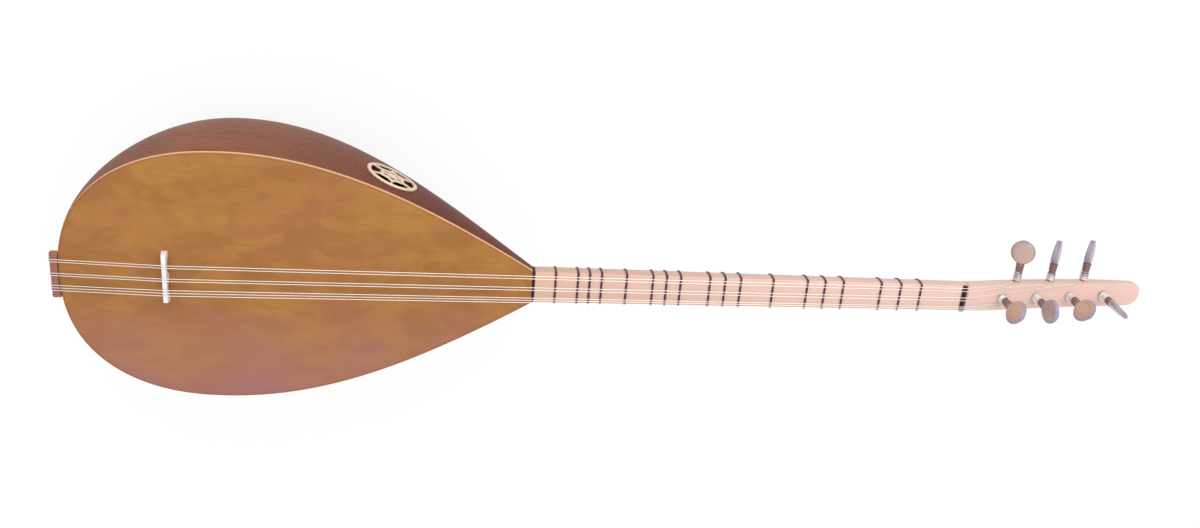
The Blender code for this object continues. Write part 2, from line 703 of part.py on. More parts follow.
def add_headstock(instrument, material):
    """The bent-back head with a tapered hole for each peg."""
    first_width, first_depth = neck_section(NECK_END_X)
    rings = [[(HEAD_X, y, z) for y, z in half_round(first_width, first_depth, NECK_FULLNESS, NECK_STEPS)]]
    stations = [HEAD_SHOULDER / 2, HEAD_SHOULDER, HEAD_TAPER_END]
    for step in range(HEAD_CORNER_STEPS + 1):
        turn = math.pi / 2 * step / HEAD_CORNER_STEPS
        stations.append(HEAD_LENGTH - HEAD_CORNER + HEAD_CORNER * math.sin(turn))
    for along in stations:
        section = half_round(head_half_width(along), head_depth(along), HEAD_FULLNESS, NECK_STEPS)
        rings.append([head_point(along, y, z) for y, z in section])
    head = add_solid("headstock", *loft(rings), material, instrument)
    for kind, number, frame in peg_frames():
        through = HEAD_DEPTH if kind == "front" else 2 * HEAD_HALF_WIDTH
        ends = (-through - HEAD_HALF_WIDTH, HEAD_HALF_WIDTH)
        hole = [round_ring(peg_radius(z) + PEG_HOLE_CLEARANCE, z, HOLE_SIDES) for z in ends]
        cutter = add_solid(f"{kind}_hole_cutter_{number}", *loft(hole), None, instrument)
        cutter.matrix_local = frame
        shape_with(head, cutter, "DIFFERENCE")
    return head


def peg_rings(kind):
    """Sections of a peg: tapered shank, waist ring, then a flat round paddle that thins to its end."""
    rings = [round_ring(peg_radius(z), z, PEG_SIDES) for z in (-shank_depth(kind), PEG_NECK_HEIGHT)]
    for share, swell in WAIST_RING_SHAPE.items():
        height = PEG_NECK_HEIGHT + WAIST_RING_HEIGHT * share
        rings.append(round_ring(WAIST_RING_RADIUS * swell, height, PEG_SIDES))
    base = PEG_NECK_HEIGHT + WAIST_RING_HEIGHT
    first = math.acos(min(1.0, (PADDLE_CENTRE - base - SEAT) / PADDLE_RADIUS))
    for angle in np.linspace(max(first, PADDLE_SPAN[0]), PADDLE_SPAN[1], PADDLE_STEPS):
        height = PADDLE_CENTRE - PADDLE_RADIUS * math.cos(angle)
        share = (height - base) / (PADDLE_CENTRE + PADDLE_RADIUS - base)
        thick = PADDLE_BASE_THICKNESS + (PADDLE_TIP_THICKNESS - PADDLE_BASE_THICKNESS) * share
        thick *= min(1.0, math.sin(angle) ** 0.5)
        wide = PADDLE_RADIUS * math.sin(angle)
        ring = []
        for turn in np.linspace(0, math.tau, PEG_SIDES, endpoint=False):
            c, s = math.cos(turn), math.sin(turn)
            x = wide * math.copysign(abs(c) ** (2 / PADDLE_FULLNESS), c)
            y = thick * math.copysign(abs(s) ** (2 / PADDLE_FULLNESS), s)
            ring.append((x, y, height))
        rings.append(ring)
    return rings


def add_pegs(instrument, material):
    """Seven pegs, each under an empty on its own axis. Returns the empties by kind and number."""
    axes = {}
    turns = {"front": FRONT_PEG_TURNS, "side": SIDE_PEG_TURNS}
    for kind, number, frame in peg_frames():
        axis = add_empty(f"peg_axis_{kind}_{number}", frame, instrument)
        peg = add_solid(f"peg_{kind}_{number}", *loft(peg_rings(kind)), material, axis)
        peg.rotation_euler.z = math.radians(turns[kind][number - 1])
        axes[kind, number] = axis
    return axes


def across(centre, spacing, gaps):
    """y of every string, course by course from +Y to -Y."""
    places = []
    for course, count in enumerate(COURSES):
        middle = centre + spacing * ((len(COURSES) - 1) / 2 - course)
        places += [middle + gaps[count] * ((count - 1) / 2 - index) for index in range(count)]
    return places


BRIDGE_YS = across(BRIDGE_CENTRE_Y, BRIDGE_COURSE_SPACING, COURSE_GAPS)
TAIL_YS = across(TAIL_CENTRE_Y, TAIL_COURSE_SPACING, TAIL_COURSE_GAPS)
NUT_YS = across(0.0, NUT_COURSE_SPACING, NUT_COURSE_GAPS)


def notched_edge(places, height, left, right):
    """(y, z) points of a top edge from left to right with a notch under each string."""
    edge = [(left, height + NOTCH)]
    for y in sorted(places):
        edge += [(y - NOTCH, height + NOTCH), (y, height), (y + NOTCH, height + NOTCH)]
    edge.append((right, height + NOTCH))
    return edge


def add_nut(instrument, material):
    """The nut in its slot, with a notch for each string."""
    half_width = neck_section(STRING_LENGTH + NUT_WIDTH)[0]
    edge = notched_edge(NUT_YS, NUT_HEIGHT, -half_width, half_width)
    bottom = [(half_width, -NUT_SLOT + SEAT), (-half_width, -NUT_SLOT + SEAT)]
    rings = [[(x, y, z) for y, z in edge + bottom] for x in (STRING_LENGTH, STRING_LENGTH + NUT_WIDTH)]
    return add_solid("nut", *loft(rings), material, instrument)


def add_bridge(instrument, material):
    """The bridge: three feet with two arches between them, thinner towards its notched top."""
    left = BRIDGE_CENTRE_Y - BRIDGE_HALF_LENGTH
    right = BRIDGE_CENTRE_Y + BRIDGE_HALF_LENGTH
    height = BRIDGE_HEIGHT - NOTCH
    profile = notched_edge(BRIDGE_YS, height, left + BRIDGE_SHOULDER, right - BRIDGE_SHOULDER)
    profile.append((right, BRIDGE_ARCH_HEIGHT))
    profile.append((right, SEAT))
    arch = (2 * BRIDGE_HALF_LENGTH - 3 * BRIDGE_FOOT) / 2
    for index in range(2):
        start = right - BRIDGE_FOOT - index * (arch + BRIDGE_FOOT)
        for step in range(ARCH_STEPS + 1):
            turn = math.pi * step / ARCH_STEPS
            y = start - arch / 2 + arch / 2 * math.cos(turn)
            profile.append((y, SEAT + BRIDGE_ARCH_HEIGHT * math.sin(turn)))
    profile.append((left, SEAT))
    profile.append((left, BRIDGE_ARCH_HEIGHT))
    rings = []
    for side in (-1, 1):
        ring = []
        for y, z in profile:
            half = BRIDGE_BASE + (BRIDGE_TOP - BRIDGE_BASE) * (z - SEAT) / (BRIDGE_HEIGHT - SEAT)
            ring.append((side * half, y, z))
        rings.append(ring)
    return add_solid("bridge", *loft(rings), material, instrument)


def add_tailpiece(instrument, material):
    """The block at the tail that the strings bend over, carved to fit against the bowl."""
    inner_x = TAIL_X + TAILPIECE_REACH
    profile = [(inner_x, -TAILPIECE_DEPTH), (inner_x, TAILPIECE_RISE)]
    for step in range(ARCH_STEPS // 2 + 1):
        turn = math.pi / 2 * step / (ARCH_STEPS // 2)
        x = TAILPIECE_X + TAILPIECE_CORNER * (1 - math.sin(turn))
        profile.append((x, TAILPIECE_RISE - TAILPIECE_CORNER * (1 - math.cos(turn))))
    profile.append((TAILPIECE_X, -TAILPIECE_DEPTH))
    rings = [[(x, y, z) for x, z in profile] for y in (-TAILPIECE_HALF_WIDTH, TAILPIECE_HALF_WIDTH)]
    piece = add_solid("tailpiece", *loft(rings), material, instrument)
    skin = []
    for x in [TAIL_X] + bowl_stations()[:STATIONS_TAIL]:
        ring = tail_edge_ring(x, BOWL_STEPS + 1) if x == TAIL_X else bowl_ring(x)
        edge = bowl_half_width(x)
        ring = [(x, edge, TAILPIECE_DEPTH), (x, edge, -RIM_DEPTH)] + ring
        ring += [(x, -edge, -RIM_DEPTH), (x, -edge, TAILPIECE_DEPTH)]
        skin.append([(px - TAILPIECE_CLEARANCE, y, z) for px, y, z in ring])
    cutter = add_solid("tail_shape_cutter", *loft(skin, first_end=False), None, instrument)
    shape_with(piece, cutter, "DIFFERENCE")
    return piece


def fret_path(x):
    """(point, outward) pairs round the neck at x, each outward step keeping one distance from both sides."""
    half_width, depth = neck_section(x)
    loop = [Vector(point) for point in half_round(half_width, depth, NECK_FULLNESS, NECK_STEPS)]
    path = []
    for index, point in enumerate(loop):
        came = (point - loop[index - 1]).normalized()
        goes = (loop[(index + 1) % len(loop)] - point).normalized()
        came_out = Vector((-came.y, came.x))
        goes_out = Vector((-goes.y, goes.x))
        outward = (came_out + goes_out).normalized()
        path.append((point, outward / outward.dot(came_out)))
    return path


def add_frets(instrument, material):
    """Tied frets: nylon wound side by side round the neck, its turns touching, so each fret is one ridged band."""
    ridges = []
    for turn in range(FRET_TURNS):
        middle = -FRET_HALF_WIDTH + NYLON_DIAMETER * (turn + 1 / 2)
        if turn:
            ridges.append((middle - NYLON_DIAMETER / 2, SEAT + NYLON_DIAMETER * FRET_VALLEY_SHARE))
        ridges.append((middle, SEAT + NYLON_DIAMETER))
    profile = [(-FRET_HALF_WIDTH, SEAT)] + ridges + [(FRET_HALF_WIDTH, SEAT)]
    for number, cents in enumerate(FRET_CENTS, start=1):
        x = STRING_LENGTH * 2 ** (-cents / OCTAVE_CENTS)
        rings = []
        for point, outward in fret_path(x):
            rings.append([(x + a, *(point + outward * lift)) for a, lift in profile])
        add_solid(f"fret_{number:02d}", *loft(rings, ring_shaped=True), material, instrument)


def winding_radius(turns):
    """Radius of a winding's centre line, clear of the shank under its last turn."""
    return peg_radius(WINDING_START + turns * TURN_PITCH) + STRING_REACH


def meeting_angle(point, radius):
    """Angle at which a straight string from a point, given in a peg's frame, touches its winding."""
    distance = math.hypot(point.x, point.y)
    return math.atan2(point.y, point.x) + math.acos(radius / distance)


def head_route(kind, number, start):
    """Points of a string from behind the nut up to its winding, in the instrument's frame.

    A string to a side peg first bends over the head's edge. It ends short of its winding, which turns with the peg.
    """
    frame = {(k, n): f for k, n, f in peg_frames()}[kind, number]
    route = [start]
    if kind == "side":
        along = FIRST_PEG + PEG_PITCH * (number - 1 / 2) - SIDE_PEG_DEPTH * 3 / 2
        route.append(head_point(along, head_half_width(along) + STRING_REACH, STRING_REACH))
    local = frame.inverted() @ route[-1]
    turns = WINDING_TURNS[kind][number - 1]
    radius = winding_radius(turns)
    angle = meeting_angle(local, radius)
    touch = Vector((radius * math.cos(angle), radius * math.sin(angle), WINDING_START))
    clear = math.sqrt((radius + 2 * STRING_RADIUS + SEAT) ** 2 - radius**2)
    back = (local - touch).normalized()
    route.append(frame @ (touch + back * clear))
    return route, angle


def add_strings(instrument, axes, material):
    """Seven strings, each with its winding on its own peg, and the least gap between a winding's turns."""
    targets = [("side", number) for number in range(1, SIDE_PEGS + 1)]
    targets += [("front", number) for number in range(1, FRONT_PEGS + 1)]
    least = math.inf
    for number, (kind, peg) in enumerate(targets, start=1):
        tail_y, bridge_y, nut_y = TAIL_YS[number - 1], BRIDGE_YS[number - 1], NUT_YS[number - 1]
        behind = TAILPIECE_X - STRING_REACH
        over = TAILPIECE_RISE + STRING_REACH
        route = [
            Vector((TAILPIECE_X + STRING_HOOK, tail_y, -TAILPIECE_DEPTH - STRING_REACH)),
            Vector((behind, tail_y, -TAILPIECE_DEPTH - STRING_REACH)),
            Vector((behind, tail_y, TAILPIECE_RISE - TAILPIECE_CORNER)),
            Vector((behind + TAILPIECE_CORNER_POINT, tail_y, over - TAILPIECE_CORNER_POINT)),
            Vector((TAILPIECE_X + TAILPIECE_CORNER, tail_y, over)),
            Vector((0.0, bridge_y, BRIDGE_STRING_HEIGHT)),
            Vector((STRING_LENGTH, nut_y, NUT_STRING_HEIGHT)),
        ]
        nut_back = Vector((STRING_LENGTH + NUT_WIDTH, nut_y, NUT_STRING_HEIGHT))
        ending, angle = head_route(kind, peg, nut_back)
        add_tube(f"string_{number}", route + ending, STRING_RADIUS, material, instrument)

        turns = WINDING_TURNS[kind][peg - 1]
        radius = winding_radius(turns)
        helix = []
        for step in range(turns * TURN_POINTS + 1):
            turned = step / TURN_POINTS
            turn = angle + math.tau * turned
            height = WINDING_START + TURN_PITCH * turned
            helix.append(Vector((radius * math.cos(turn), radius * math.sin(turn), height)))
        add_tube(f"winding_{number}", helix, STRING_RADIUS, material, axes[kind, peg])
        least = min(least, least_gap(helix))
    print(f"least gap between the turns of a winding: {least * 1000:.2f} mm")


def least_gap(helix):
    """Smallest gap of a winding to itself, measured between points at least half a turn apart."""
    points = np.array([tuple(point) for point in helix])
    apart = np.linalg.norm(points[:, None] - points[None], axis=-1)
    steps = np.abs(np.arange(len(points))[:, None] - np.arange(len(points))[None])
    return float(apart[steps > TURN_POINTS // 2].min()) - 2 * STRING_RADIUS


def main():
    for item in list(bpy.data.objects):
        bpy.data.objects.remove(item, do_unlink=True)
    dark_wood = finish("bowl_walnut", (0.12, 0.035, 0.016), 0.42)
    amber = finish("soundboard_spruce", (0.72, 0.36, 0.12), 0.35)
    pale = finish("binding_wood", (0.85, 0.55, 0.30), 0.4)
    maple = finish("neck_maple", (0.78, 0.58, 0.44), 0.4)
    brace_wood = finish("brace_spruce", (0.75, 0.60, 0.40), 0.7)
    cream = finish("rosette_cream", (0.85, 0.76, 0.60), 0.5)
    ebony = finish("dark_strip", (0.03, 0.015, 0.015), 0.35)
    bone = finish("bridge_bone", (0.88, 0.87, 0.82), 0.4)
    red_wood = finish("tailpiece_wood", (0.35, 0.10, 0.05), 0.35)
    nylon = finish("fret_nylon", (0.13, 0.02, 0.03), 0.4)
    rosewood = finish("peg_rosewood", (0.20, 0.06, 0.03), 0.25)
    steel = finish("string_steel", (0.75, 0.74, 0.72), 0.25, 1.0)

    middle_x = (LOWEST_X + HIGHEST_X) / 2
    instrument = add_empty("instrument", Matrix.Translation((-middle_x, 0, BOWL_DEPTH)))
    add_bowl(instrument, dark_wood)
    add_soundboard(instrument, amber)
    add_binding(instrument, pale)
    add_braces(instrument, brace_wood)
    add_rosette(instrument, cream)
    add_neck(instrument, maple)
    add_joint_band(instrument, ebony)
    add_headstock(instrument, maple)
    add_nut(instrument, ebony)
    add_bridge(instrument, bone)
    add_tailpiece(instrument, red_wood)
    add_frets(instrument, nylon)
    axes = add_pegs(instrument, rosewood)
    add_strings(instrument, axes, steel)


main()
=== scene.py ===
"""Dresses a saz, a short-neck baglama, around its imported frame, in a pale studio with the photograph's camera.

Shapes are worked out in the instrument's own frame: X runs along the strings from the bridge, at 0, towards
the head, Y across them, and Z rises from the playing face. ORIGIN takes them to the frame's place. Units are
metres. Every surface is a function of two parameters on a numpy grid, or a profile carried along a path.
"""

import logging
import math
from collections.abc import Iterable, Sequence
from dataclasses import dataclass, field
from enum import Enum

import bmesh
import bpy
import numpy as np
from mathutils import Matrix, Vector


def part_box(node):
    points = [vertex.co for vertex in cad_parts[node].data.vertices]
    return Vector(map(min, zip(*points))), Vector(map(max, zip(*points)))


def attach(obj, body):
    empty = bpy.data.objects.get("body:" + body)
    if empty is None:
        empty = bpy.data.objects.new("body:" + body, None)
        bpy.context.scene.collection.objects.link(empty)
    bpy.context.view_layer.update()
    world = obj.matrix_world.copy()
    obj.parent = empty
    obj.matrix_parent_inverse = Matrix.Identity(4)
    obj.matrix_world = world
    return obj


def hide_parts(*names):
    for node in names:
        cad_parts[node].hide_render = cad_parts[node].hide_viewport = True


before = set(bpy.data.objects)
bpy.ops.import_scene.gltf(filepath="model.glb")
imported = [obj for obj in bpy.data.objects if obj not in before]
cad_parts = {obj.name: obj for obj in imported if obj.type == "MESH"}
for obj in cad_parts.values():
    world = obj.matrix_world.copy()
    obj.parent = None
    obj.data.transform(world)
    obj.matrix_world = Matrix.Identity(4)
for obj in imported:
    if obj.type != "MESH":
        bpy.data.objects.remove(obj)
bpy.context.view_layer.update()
LOG = logging.getLogger("saz")

Array = np.ndarray
Triple = tuple[float, float, float]
Colour = Triple
Faces = list[list[int]]
Shape = tuple[Array, Faces]
Piece = bpy.types.Object
Socket = bpy.types.NodeSocket

SEAT = 0.0003
WELD = 1e-7
SHARP_ANGLE = math.radians(38)
BEVEL_ANGLE = math.radians(35)
NOTCH_DEPTH = 0.0005
NOTCH_HALF_WIDTH = 0.0005
ORIGIN = np.array(
    [
        (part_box("bridge")[0].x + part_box("bridge")[1].x) / 2,
        0.0,
        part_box("soundboard")[1].z,
    ]
)


def ramp(value: Array, low: float, high: float) -> Array:
    """A smooth step: 0 below low, 1 above high, and s*s*(3 - 2s) between, s being the share of the way.

    Args:
        value: Numbers to turn into shares.
        low: Where the step starts.
        high: Where the step ends.

    Returns:
        The step at each number.
    """
    share = np.clip((np.asarray(value, float) - low) / (high - low), 0.0, 1.0)
    return share * share * (3.0 - 2.0 * share)


def signed_power(value: Array, power: float) -> Array:
    """The absolute value raised to a power, with the sign put back."""
    return np.sign(value) * np.abs(value) ** power


def superellipse(half_width: Array, depth: Array, fullness: float, turn: Array) -> tuple[Array, Array]:
    """Points of a superellipse: y is w times cos to the power 2/p, z is d times sin to the power 2/p.

    Args:
        half_width: Half width w, broadcast against turn.
        depth: Half height d, broadcast against turn.
        fullness: Power p, 2 for an ellipse and more for a squarer section.
        turn: Angles in radians.

    Returns:
        The y and the z of each point.
    """
    y = half_width * signed_power(np.cos(turn), 2.0 / fullness)
    z = depth * signed_power(np.sin(turn), 2.0 / fullness)
    return y, z


def circle(count: int) -> Array:
    """Evenly spaced angles once round, in radians."""
    return np.linspace(0.0, math.tau, count, endpoint=False)


def coordinates(x: Array, y: Array, z: Array) -> Array:
    """Points from their x, y and z, broadcast against each other."""
    return np.stack(np.broadcast_arrays(x, y, z), axis=-1)


def unit(vectors: Array) -> Array:
    """Each vector divided by its length."""
    return vectors / np.linalg.norm(vectors, axis=-1, keepdims=True)


def frame_matrix(first: Array, second: Array, third: Array, origin: Array) -> Array:
    """The 4 by 4 matrix of a frame.

    Args:
        first: Direction of its X axis.
        second: Direction of its Y axis.
        third: Direction of its Z axis.
        origin: Its origin.

    Returns:
        The matrix.
    """
    matrix = np.eye(4)
    matrix[:3] = np.stack([first, second, third, origin], axis=-1)
    return matrix


def moved(points: Array, matrix: Array) -> Array:
    """Points turned and moved by a 4 by 4 matrix."""
    return points @ matrix[:3, :3].T + matrix[:3, 3]


def grid_quads(rows: int, columns: int, ring_rows: bool = False, ring_columns: bool = False) -> Faces:
    """Corner numbers of the quads of a grid of points.

    Args:
        rows: Number of rows.
        columns: Number of points in each row.
        ring_rows: Whether the last row joins the first.
        ring_columns: Whether the last column joins the first.

    Returns:
        Four corner numbers for each quad.
    """
    row, column = np.meshgrid(
        np.arange(rows if ring_rows else rows - 1),
        np.arange(columns if ring_columns else columns - 1),
        indexing="ij",
    )
    ahead = (row + 1) % rows * columns
    beside = (column + 1) % columns
    here = row * columns
    quads = np.stack([here + column, here + beside, ahead + beside, ahead + column], axis=-1)
    return quads.reshape(-1, 4).tolist()


def skin(rings: Array, ring_rows: bool = False) -> Shape:
    """A closed skin through rings of points, with a flat cap on each end unless the rings meet themselves.

    Args:
        rings: Points, shaped (rings, points of a ring, 3).
        ring_rows: Whether the last ring joins the first.

    Returns:
        The points and the faces.
    """
    rows, columns = rings.shape[:2]
    faces = grid_quads(rows, columns, ring_rows, True)
    if not ring_rows:
        faces.append(list(range(columns)))
        faces.append(list(range((rows - 1) * columns, rows * columns)))
    return rings.reshape(-1, 3), faces


def joined(parts: Iterable[Shape]) -> Shape:
    """Several skins as one.

    Args:
        parts: Points and faces of each skin.

    Returns:
        The points and the faces of them all.
    """
    points: list[Array] = []
    faces: Faces = []
    start = 0
    for some, several in parts:
        points.append(some)
        faces += [[corner + start for corner in face] for face in several]
        start += len(some)
    return np.concatenate(points), faces


def to_world(points: Array) -> Array:
    """Points of the instrument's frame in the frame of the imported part."""
    return points + ORIGIN


def linked(name: str, data: bpy.types.ID) -> Piece:
    """A new object in the scene.

    Args:
        name: Name of the object.
        data: Its mesh, camera or light.

    Returns:
        The object.
    """
    thing = bpy.data.objects.new(name, data)
    bpy.context.scene.collection.objects.link(thing)
    return thing


def make_mesh(name: str, shape: Shape, marks: dict[str, Array] | None = None) -> Piece:
    """A mesh object with doubled points merged, faces turned out and edges sharp past an angle.

    Args:
        name: Name of the piece.
        shape: Its points, in the instrument's frame, and its faces.
        marks: Values to keep on the points, by attribute name: one number or three for each point.

    Returns:
        The object, at the origin.
    """
    points, faces = shape
    mesh = bpy.data.meshes.new(name)
    mesh.from_pydata(to_world(points).tolist(), [], faces)
    for key, values in (marks or {}).items():
        kind = "FLOAT_VECTOR" if values.ndim == 2 else "FLOAT"
        slot = "vector" if values.ndim == 2 else "value"
        mesh.attributes.new(key, kind, "POINT").data.foreach_set(slot, values.astype(np.float32).ravel())
    work = bmesh.new()
    work.from_mesh(mesh)
    bmesh.ops.remove_doubles(work, verts=work.verts, dist=WELD)
    bmesh.ops.recalc_face_normals(work, faces=work.faces)
    work.to_mesh(mesh)
    work.free()
    mesh.shade_smooth()
    mesh.set_sharp_from_angle(angle=SHARP_ANGLE)
    return linked(name, mesh)


def soften(piece: Piece, width: float, steps: int = 3) -> None:
    """Rounds the piece's sharp edges.

    Args:
        piece: The piece.
        width: Width of the rounding.
        steps: Faces across it.
    """
    bevel = piece.modifiers.new("soften", "BEVEL")
    bevel.width = width
    bevel.segments = steps
    bevel.limit_method = "ANGLE"
    bevel.angle_limit = BEVEL_ANGLE
    bevel.harden_normals = False


def carve(piece: Piece, tool: Piece, operation: str = "DIFFERENCE") -> None:
    """Cuts the piece with a tool, or joins the tool to it.

    Args:
        piece: The piece.
        tool: The object that cuts it.
        operation: Blender's name for the Boolean operation.
    """
    boolean = piece.modifiers.new(tool.name, "BOOLEAN")
    boolean.operation = operation
    boolean.object = tool


def settle(piece: Piece) -> None:
    """Applies the piece's modifiers to its mesh and removes the tools that they used.

    Args:
        piece: The piece.
    """
    tools = [step.object for step in piece.modifiers if step.type == "BOOLEAN"]
    graph = bpy.context.evaluated_depsgraph_get()
    rough = piece.data
    piece.data = bpy.data.meshes.new_from_object(piece.evaluated_get(graph))
    piece.data.name = piece.name
    piece.modifiers.clear()
    bpy.data.meshes.remove(rough)
    for tool in tools:
        bpy.data.objects.remove(tool, do_unlink=True)
    piece.data.shade_smooth()
    piece.data.set_sharp_from_angle(angle=SHARP_ANGLE)


def dress(piece: Piece, finish: "Finish", body: str, nodes: Sequence[str] = ()) -> None:
    """Gives a piece its finish and its body, and hides the CAD nodes that it stands for.

    Args:
        piece: The piece.
        finish: The finish of its surface.
        body: Name of the CAD body that carries it.
        nodes: Names of the CAD nodes that it replaces.
    """
    piece.data.materials.clear()
    piece.data.materials.append(finish.material())
    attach(piece, body)
    if nodes:
        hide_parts(*nodes)


class NodeBoard:
    """Lays out the nodes of one procedural material."""

    def __init__(self, name: str) -> None:
        """Starts a material with its Principled shader.

        Args:
            name: Name of the material.
        """
        self.material = bpy.data.materials.new(name)
        self.material.use_nodes = True
        self.tree = self.material.node_tree
        self.shader = self.tree.nodes["Principled BSDF"]

    def add(self, kind: str, sockets: dict[str, object] | None = None, **settings: object) -> bpy.types.Node:
        """Adds a node.

        Args:
            kind: Blender's name for the node's type.
            sockets: Values or other nodes' sockets for its inputs, by name.
            settings: The node's own settings.

        Returns:
            The node.
        """
        node = self.tree.nodes.new(kind)
        for key, value in settings.items():
            setattr(node, key, value)
        self.fill(node, sockets or {})
        return node

    def fill(self, node: bpy.types.Node, sockets: dict[str, object]) -> None:
        """Sets or links a node's inputs.

        Args:
            node: The node.
            sockets: Values or other nodes' sockets, by the input's name.
        """
        for key, value in sockets.items():
            if isinstance(value, Socket):
                self.tree.links.new(value, node.inputs[key])
            else:
                node.inputs[key].default_value = value

    def place(self, attribute: str = "") -> Socket:
        """Where patterns are read.

        Args:
            attribute: Attribute that holds the piece's own place, or nothing for Object coordinates.

        Returns:
            The place.
        """
        if attribute:
            return self.add("ShaderNodeAttribute", attribute_name=attribute).outputs["Vector"]
        return self.add("ShaderNodeTexCoord").outputs["Object"]

    def axis(self, place: Socket, name: str) -> Socket:
        """One coordinate of a place, by the axis's letter."""
        return self.add("ShaderNodeSeparateXYZ", {"Vector": place}).outputs[name]

    def mark(self, name: str) -> Socket:
        """The number that the piece keeps in an attribute."""
        return self.add("ShaderNodeAttribute", attribute_name=name).outputs["Fac"]

    def stretched(self, place: Socket, scale: Triple) -> Socket:
        """The place multiplied along each axis."""
        return self.add("ShaderNodeMapping", {"Vector": place, "Scale": scale}).outputs["Vector"]

    def noise(self, place: Socket, scale: float, detail: float = 3.0, twist: float = 0.0) -> Socket:
        """Soft noise, from 0 to 1.

        Args:
            place: Where the noise is read.
            scale: Its scale.
            detail: Octaves of detail.
            twist: How far it is distorted.

        Returns:
            The noise's number.
        """
        values = {"Vector": place, "Scale": scale, "Detail": detail, "Distortion": twist}
        return self.add("ShaderNodeTexNoise", values).outputs["Fac"]

    def spread(self, value: Socket, low: float, high: float, start: float = 0.0, end: float = 1.0) -> Socket:
        """The value mapped from low..high to start..end, and held at both ends."""
        values = {"Value": value, "From Min": low, "From Max": high, "To Min": start, "To Max": end}
        return self.add("ShaderNodeMapRange", values).outputs["Result"]

    def mix(self, share: object, first: object, second: object, blend: str = "MIX") -> Socket:
        """Two colours mixed.

        Args:
            share: Share of the second colour, a number or a socket.
            first: First colour or socket.
            second: Second colour or socket.
            blend: How they mix.

        Returns:
            The mixed colour.
        """
        node = self.tree.nodes.new("ShaderNodeMix")
        node.data_type = "RGBA"
        node.blend_type = blend
        for index, value in ((0, share), (6, first), (7, second)):
            if isinstance(value, Socket):
                self.tree.links.new(value, node.inputs[index])
            elif index:
                node.inputs[index].default_value = (*value, 1.0)
            else:
                node.inputs[index].default_value = value
        return node.outputs[2]

    def bump(self, height: Socket, depth: float) -> Socket:
        """A bumped normal, its height from 0 to 1 standing for depth in metres."""
        values = {"Height": height, "Strength": 1.0, "Distance": depth}
        return self.add("ShaderNodeBump", values).outputs["Normal"]

    def veiled(self, place: Socket, under: Socket, veil: "Veil", tone: Colour) -> Socket:
        """A colour with a tone laid over it in patches.

        Args:
            place: Where the patches are read.
            under: The colour under them.
            veil: Their scale, levels and strength.
            tone: Their colour.

        Returns:
            The colour with the tone over it.
        """
        patches = self.noise(self.stretched(place, veil.stretch), veil.scale, veil.detail, veil.twist)
        return self.mix(self.spread(patches, *veil.levels, 0.0, veil.share), under, tone)


@dataclass(frozen=True)
class Veil:
    """Patches of tone: noise stretched along the axes, and laid on from the first of two levels to the second."""

    scale: float
    stretch: Triple
    levels: tuple[float, float]
    share: float
    detail: float = 3.0
    twist: float = 0.0


class Grain(Enum):
    """Which way the wood's grain runs: how much the pattern is stretched along X, Y and Z."""

    ALONG_STRINGS = (0.045, 1.0, 1.0)
    ACROSS = (1.0, 0.045, 1.0)
    UPRIGHT = (1.0, 1.0, 0.045)


@dataclass(frozen=True)
class Finish:
    """What every finish has: a name, a roughness and a clear coat."""

    name: str
    roughness: float = 0.4
    coat: float = 0.0
    coat_roughness: float = 0.15
    specular: float = 0.5

    def material(self) -> bpy.types.Material:
        """The finish's material, made once.

        Returns:
            The material.
        """
        made = bpy.data.materials.get(self.name)
        if made:
            return made
        board = NodeBoard(self.name)
        board.fill(
            board.shader,
            {
                "Roughness": self.roughness,
                "Coat Weight": self.coat,
                "Coat Roughness": self.coat_roughness,
                "Specular IOR Level": self.specular,
            },
        )
        self.paint(board)
        return board.material

    def paint(self, board: NodeBoard) -> None:
        """Lays out the nodes of the finish."""
        raise NotImplementedError


@dataclass(frozen=True)
class Wood(Finish):
    """A planed and lacquered wood: soft bands, fine pores and broad clouds along its grain."""

    light: Colour = (0.5, 0.3, 0.2)
    dark: Colour = (0.3, 0.15, 0.1)
    cloud: Colour = (0.4, 0.2, 0.12)
    grain: Grain = Grain.ALONG_STRINGS
    attribute: str = ""
    band_scale: float = 90.0
    band_share: float = 0.5
    cloud_scale: float = 9.0
    cloud_share: float = 0.5
    pore_scale: float = 700.0
    pore_share: float = 0.25
    pore_depth: float = 0.00003
    uneven: float = 0.08

    def colour(self, board: NodeBoard, place: Socket) -> tuple[Socket, Socket]:
        """The wood's bands, clouds and pores. Each kind of wood lays its own tones over them.

        Args:
            board: Where the nodes go.
            place: Where the patterns are read.

        Returns:
            The colour and the share of pore at each place.
        """
        along = board.stretched(place, self.grain.value)
        bands = board.spread(board.noise(along, self.band_scale, 5.0, 0.4), 0.35, 0.68)
        colour = board.mix(board.spread(bands, 0.0, 1.0, 0.0, self.band_share), self.light, self.dark)
        clouds = board.spread(board.noise(place, self.cloud_scale, 3.0, 0.3), 0.38, 0.66, 0.0, self.cloud_share)
        colour = board.mix(clouds, colour, self.cloud)
        pores = board.spread(board.noise(along, self.pore_scale, 2.0), 0.56, 0.70)
        return board.mix(board.spread(pores, 0.0, 1.0, 0.0, self.pore_share), colour, self.dark, "MULTIPLY"), pores

    def paint(self, board: NodeBoard) -> None:
        """Colour, roughness and relief of the wood.

        Args:
            board: Where the nodes go.
        """
        place = board.place(self.attribute)
        colour, pores = self.colour(board, place)
        rough = board.spread(pores, 0.0, 1.0, self.roughness - self.uneven / 2, self.roughness + self.uneven)
        board.fill(
            board.shader,
            {"Base Color": colour, "Roughness": rough, "Normal": board.bump(pores, -self.pore_depth)},
        )


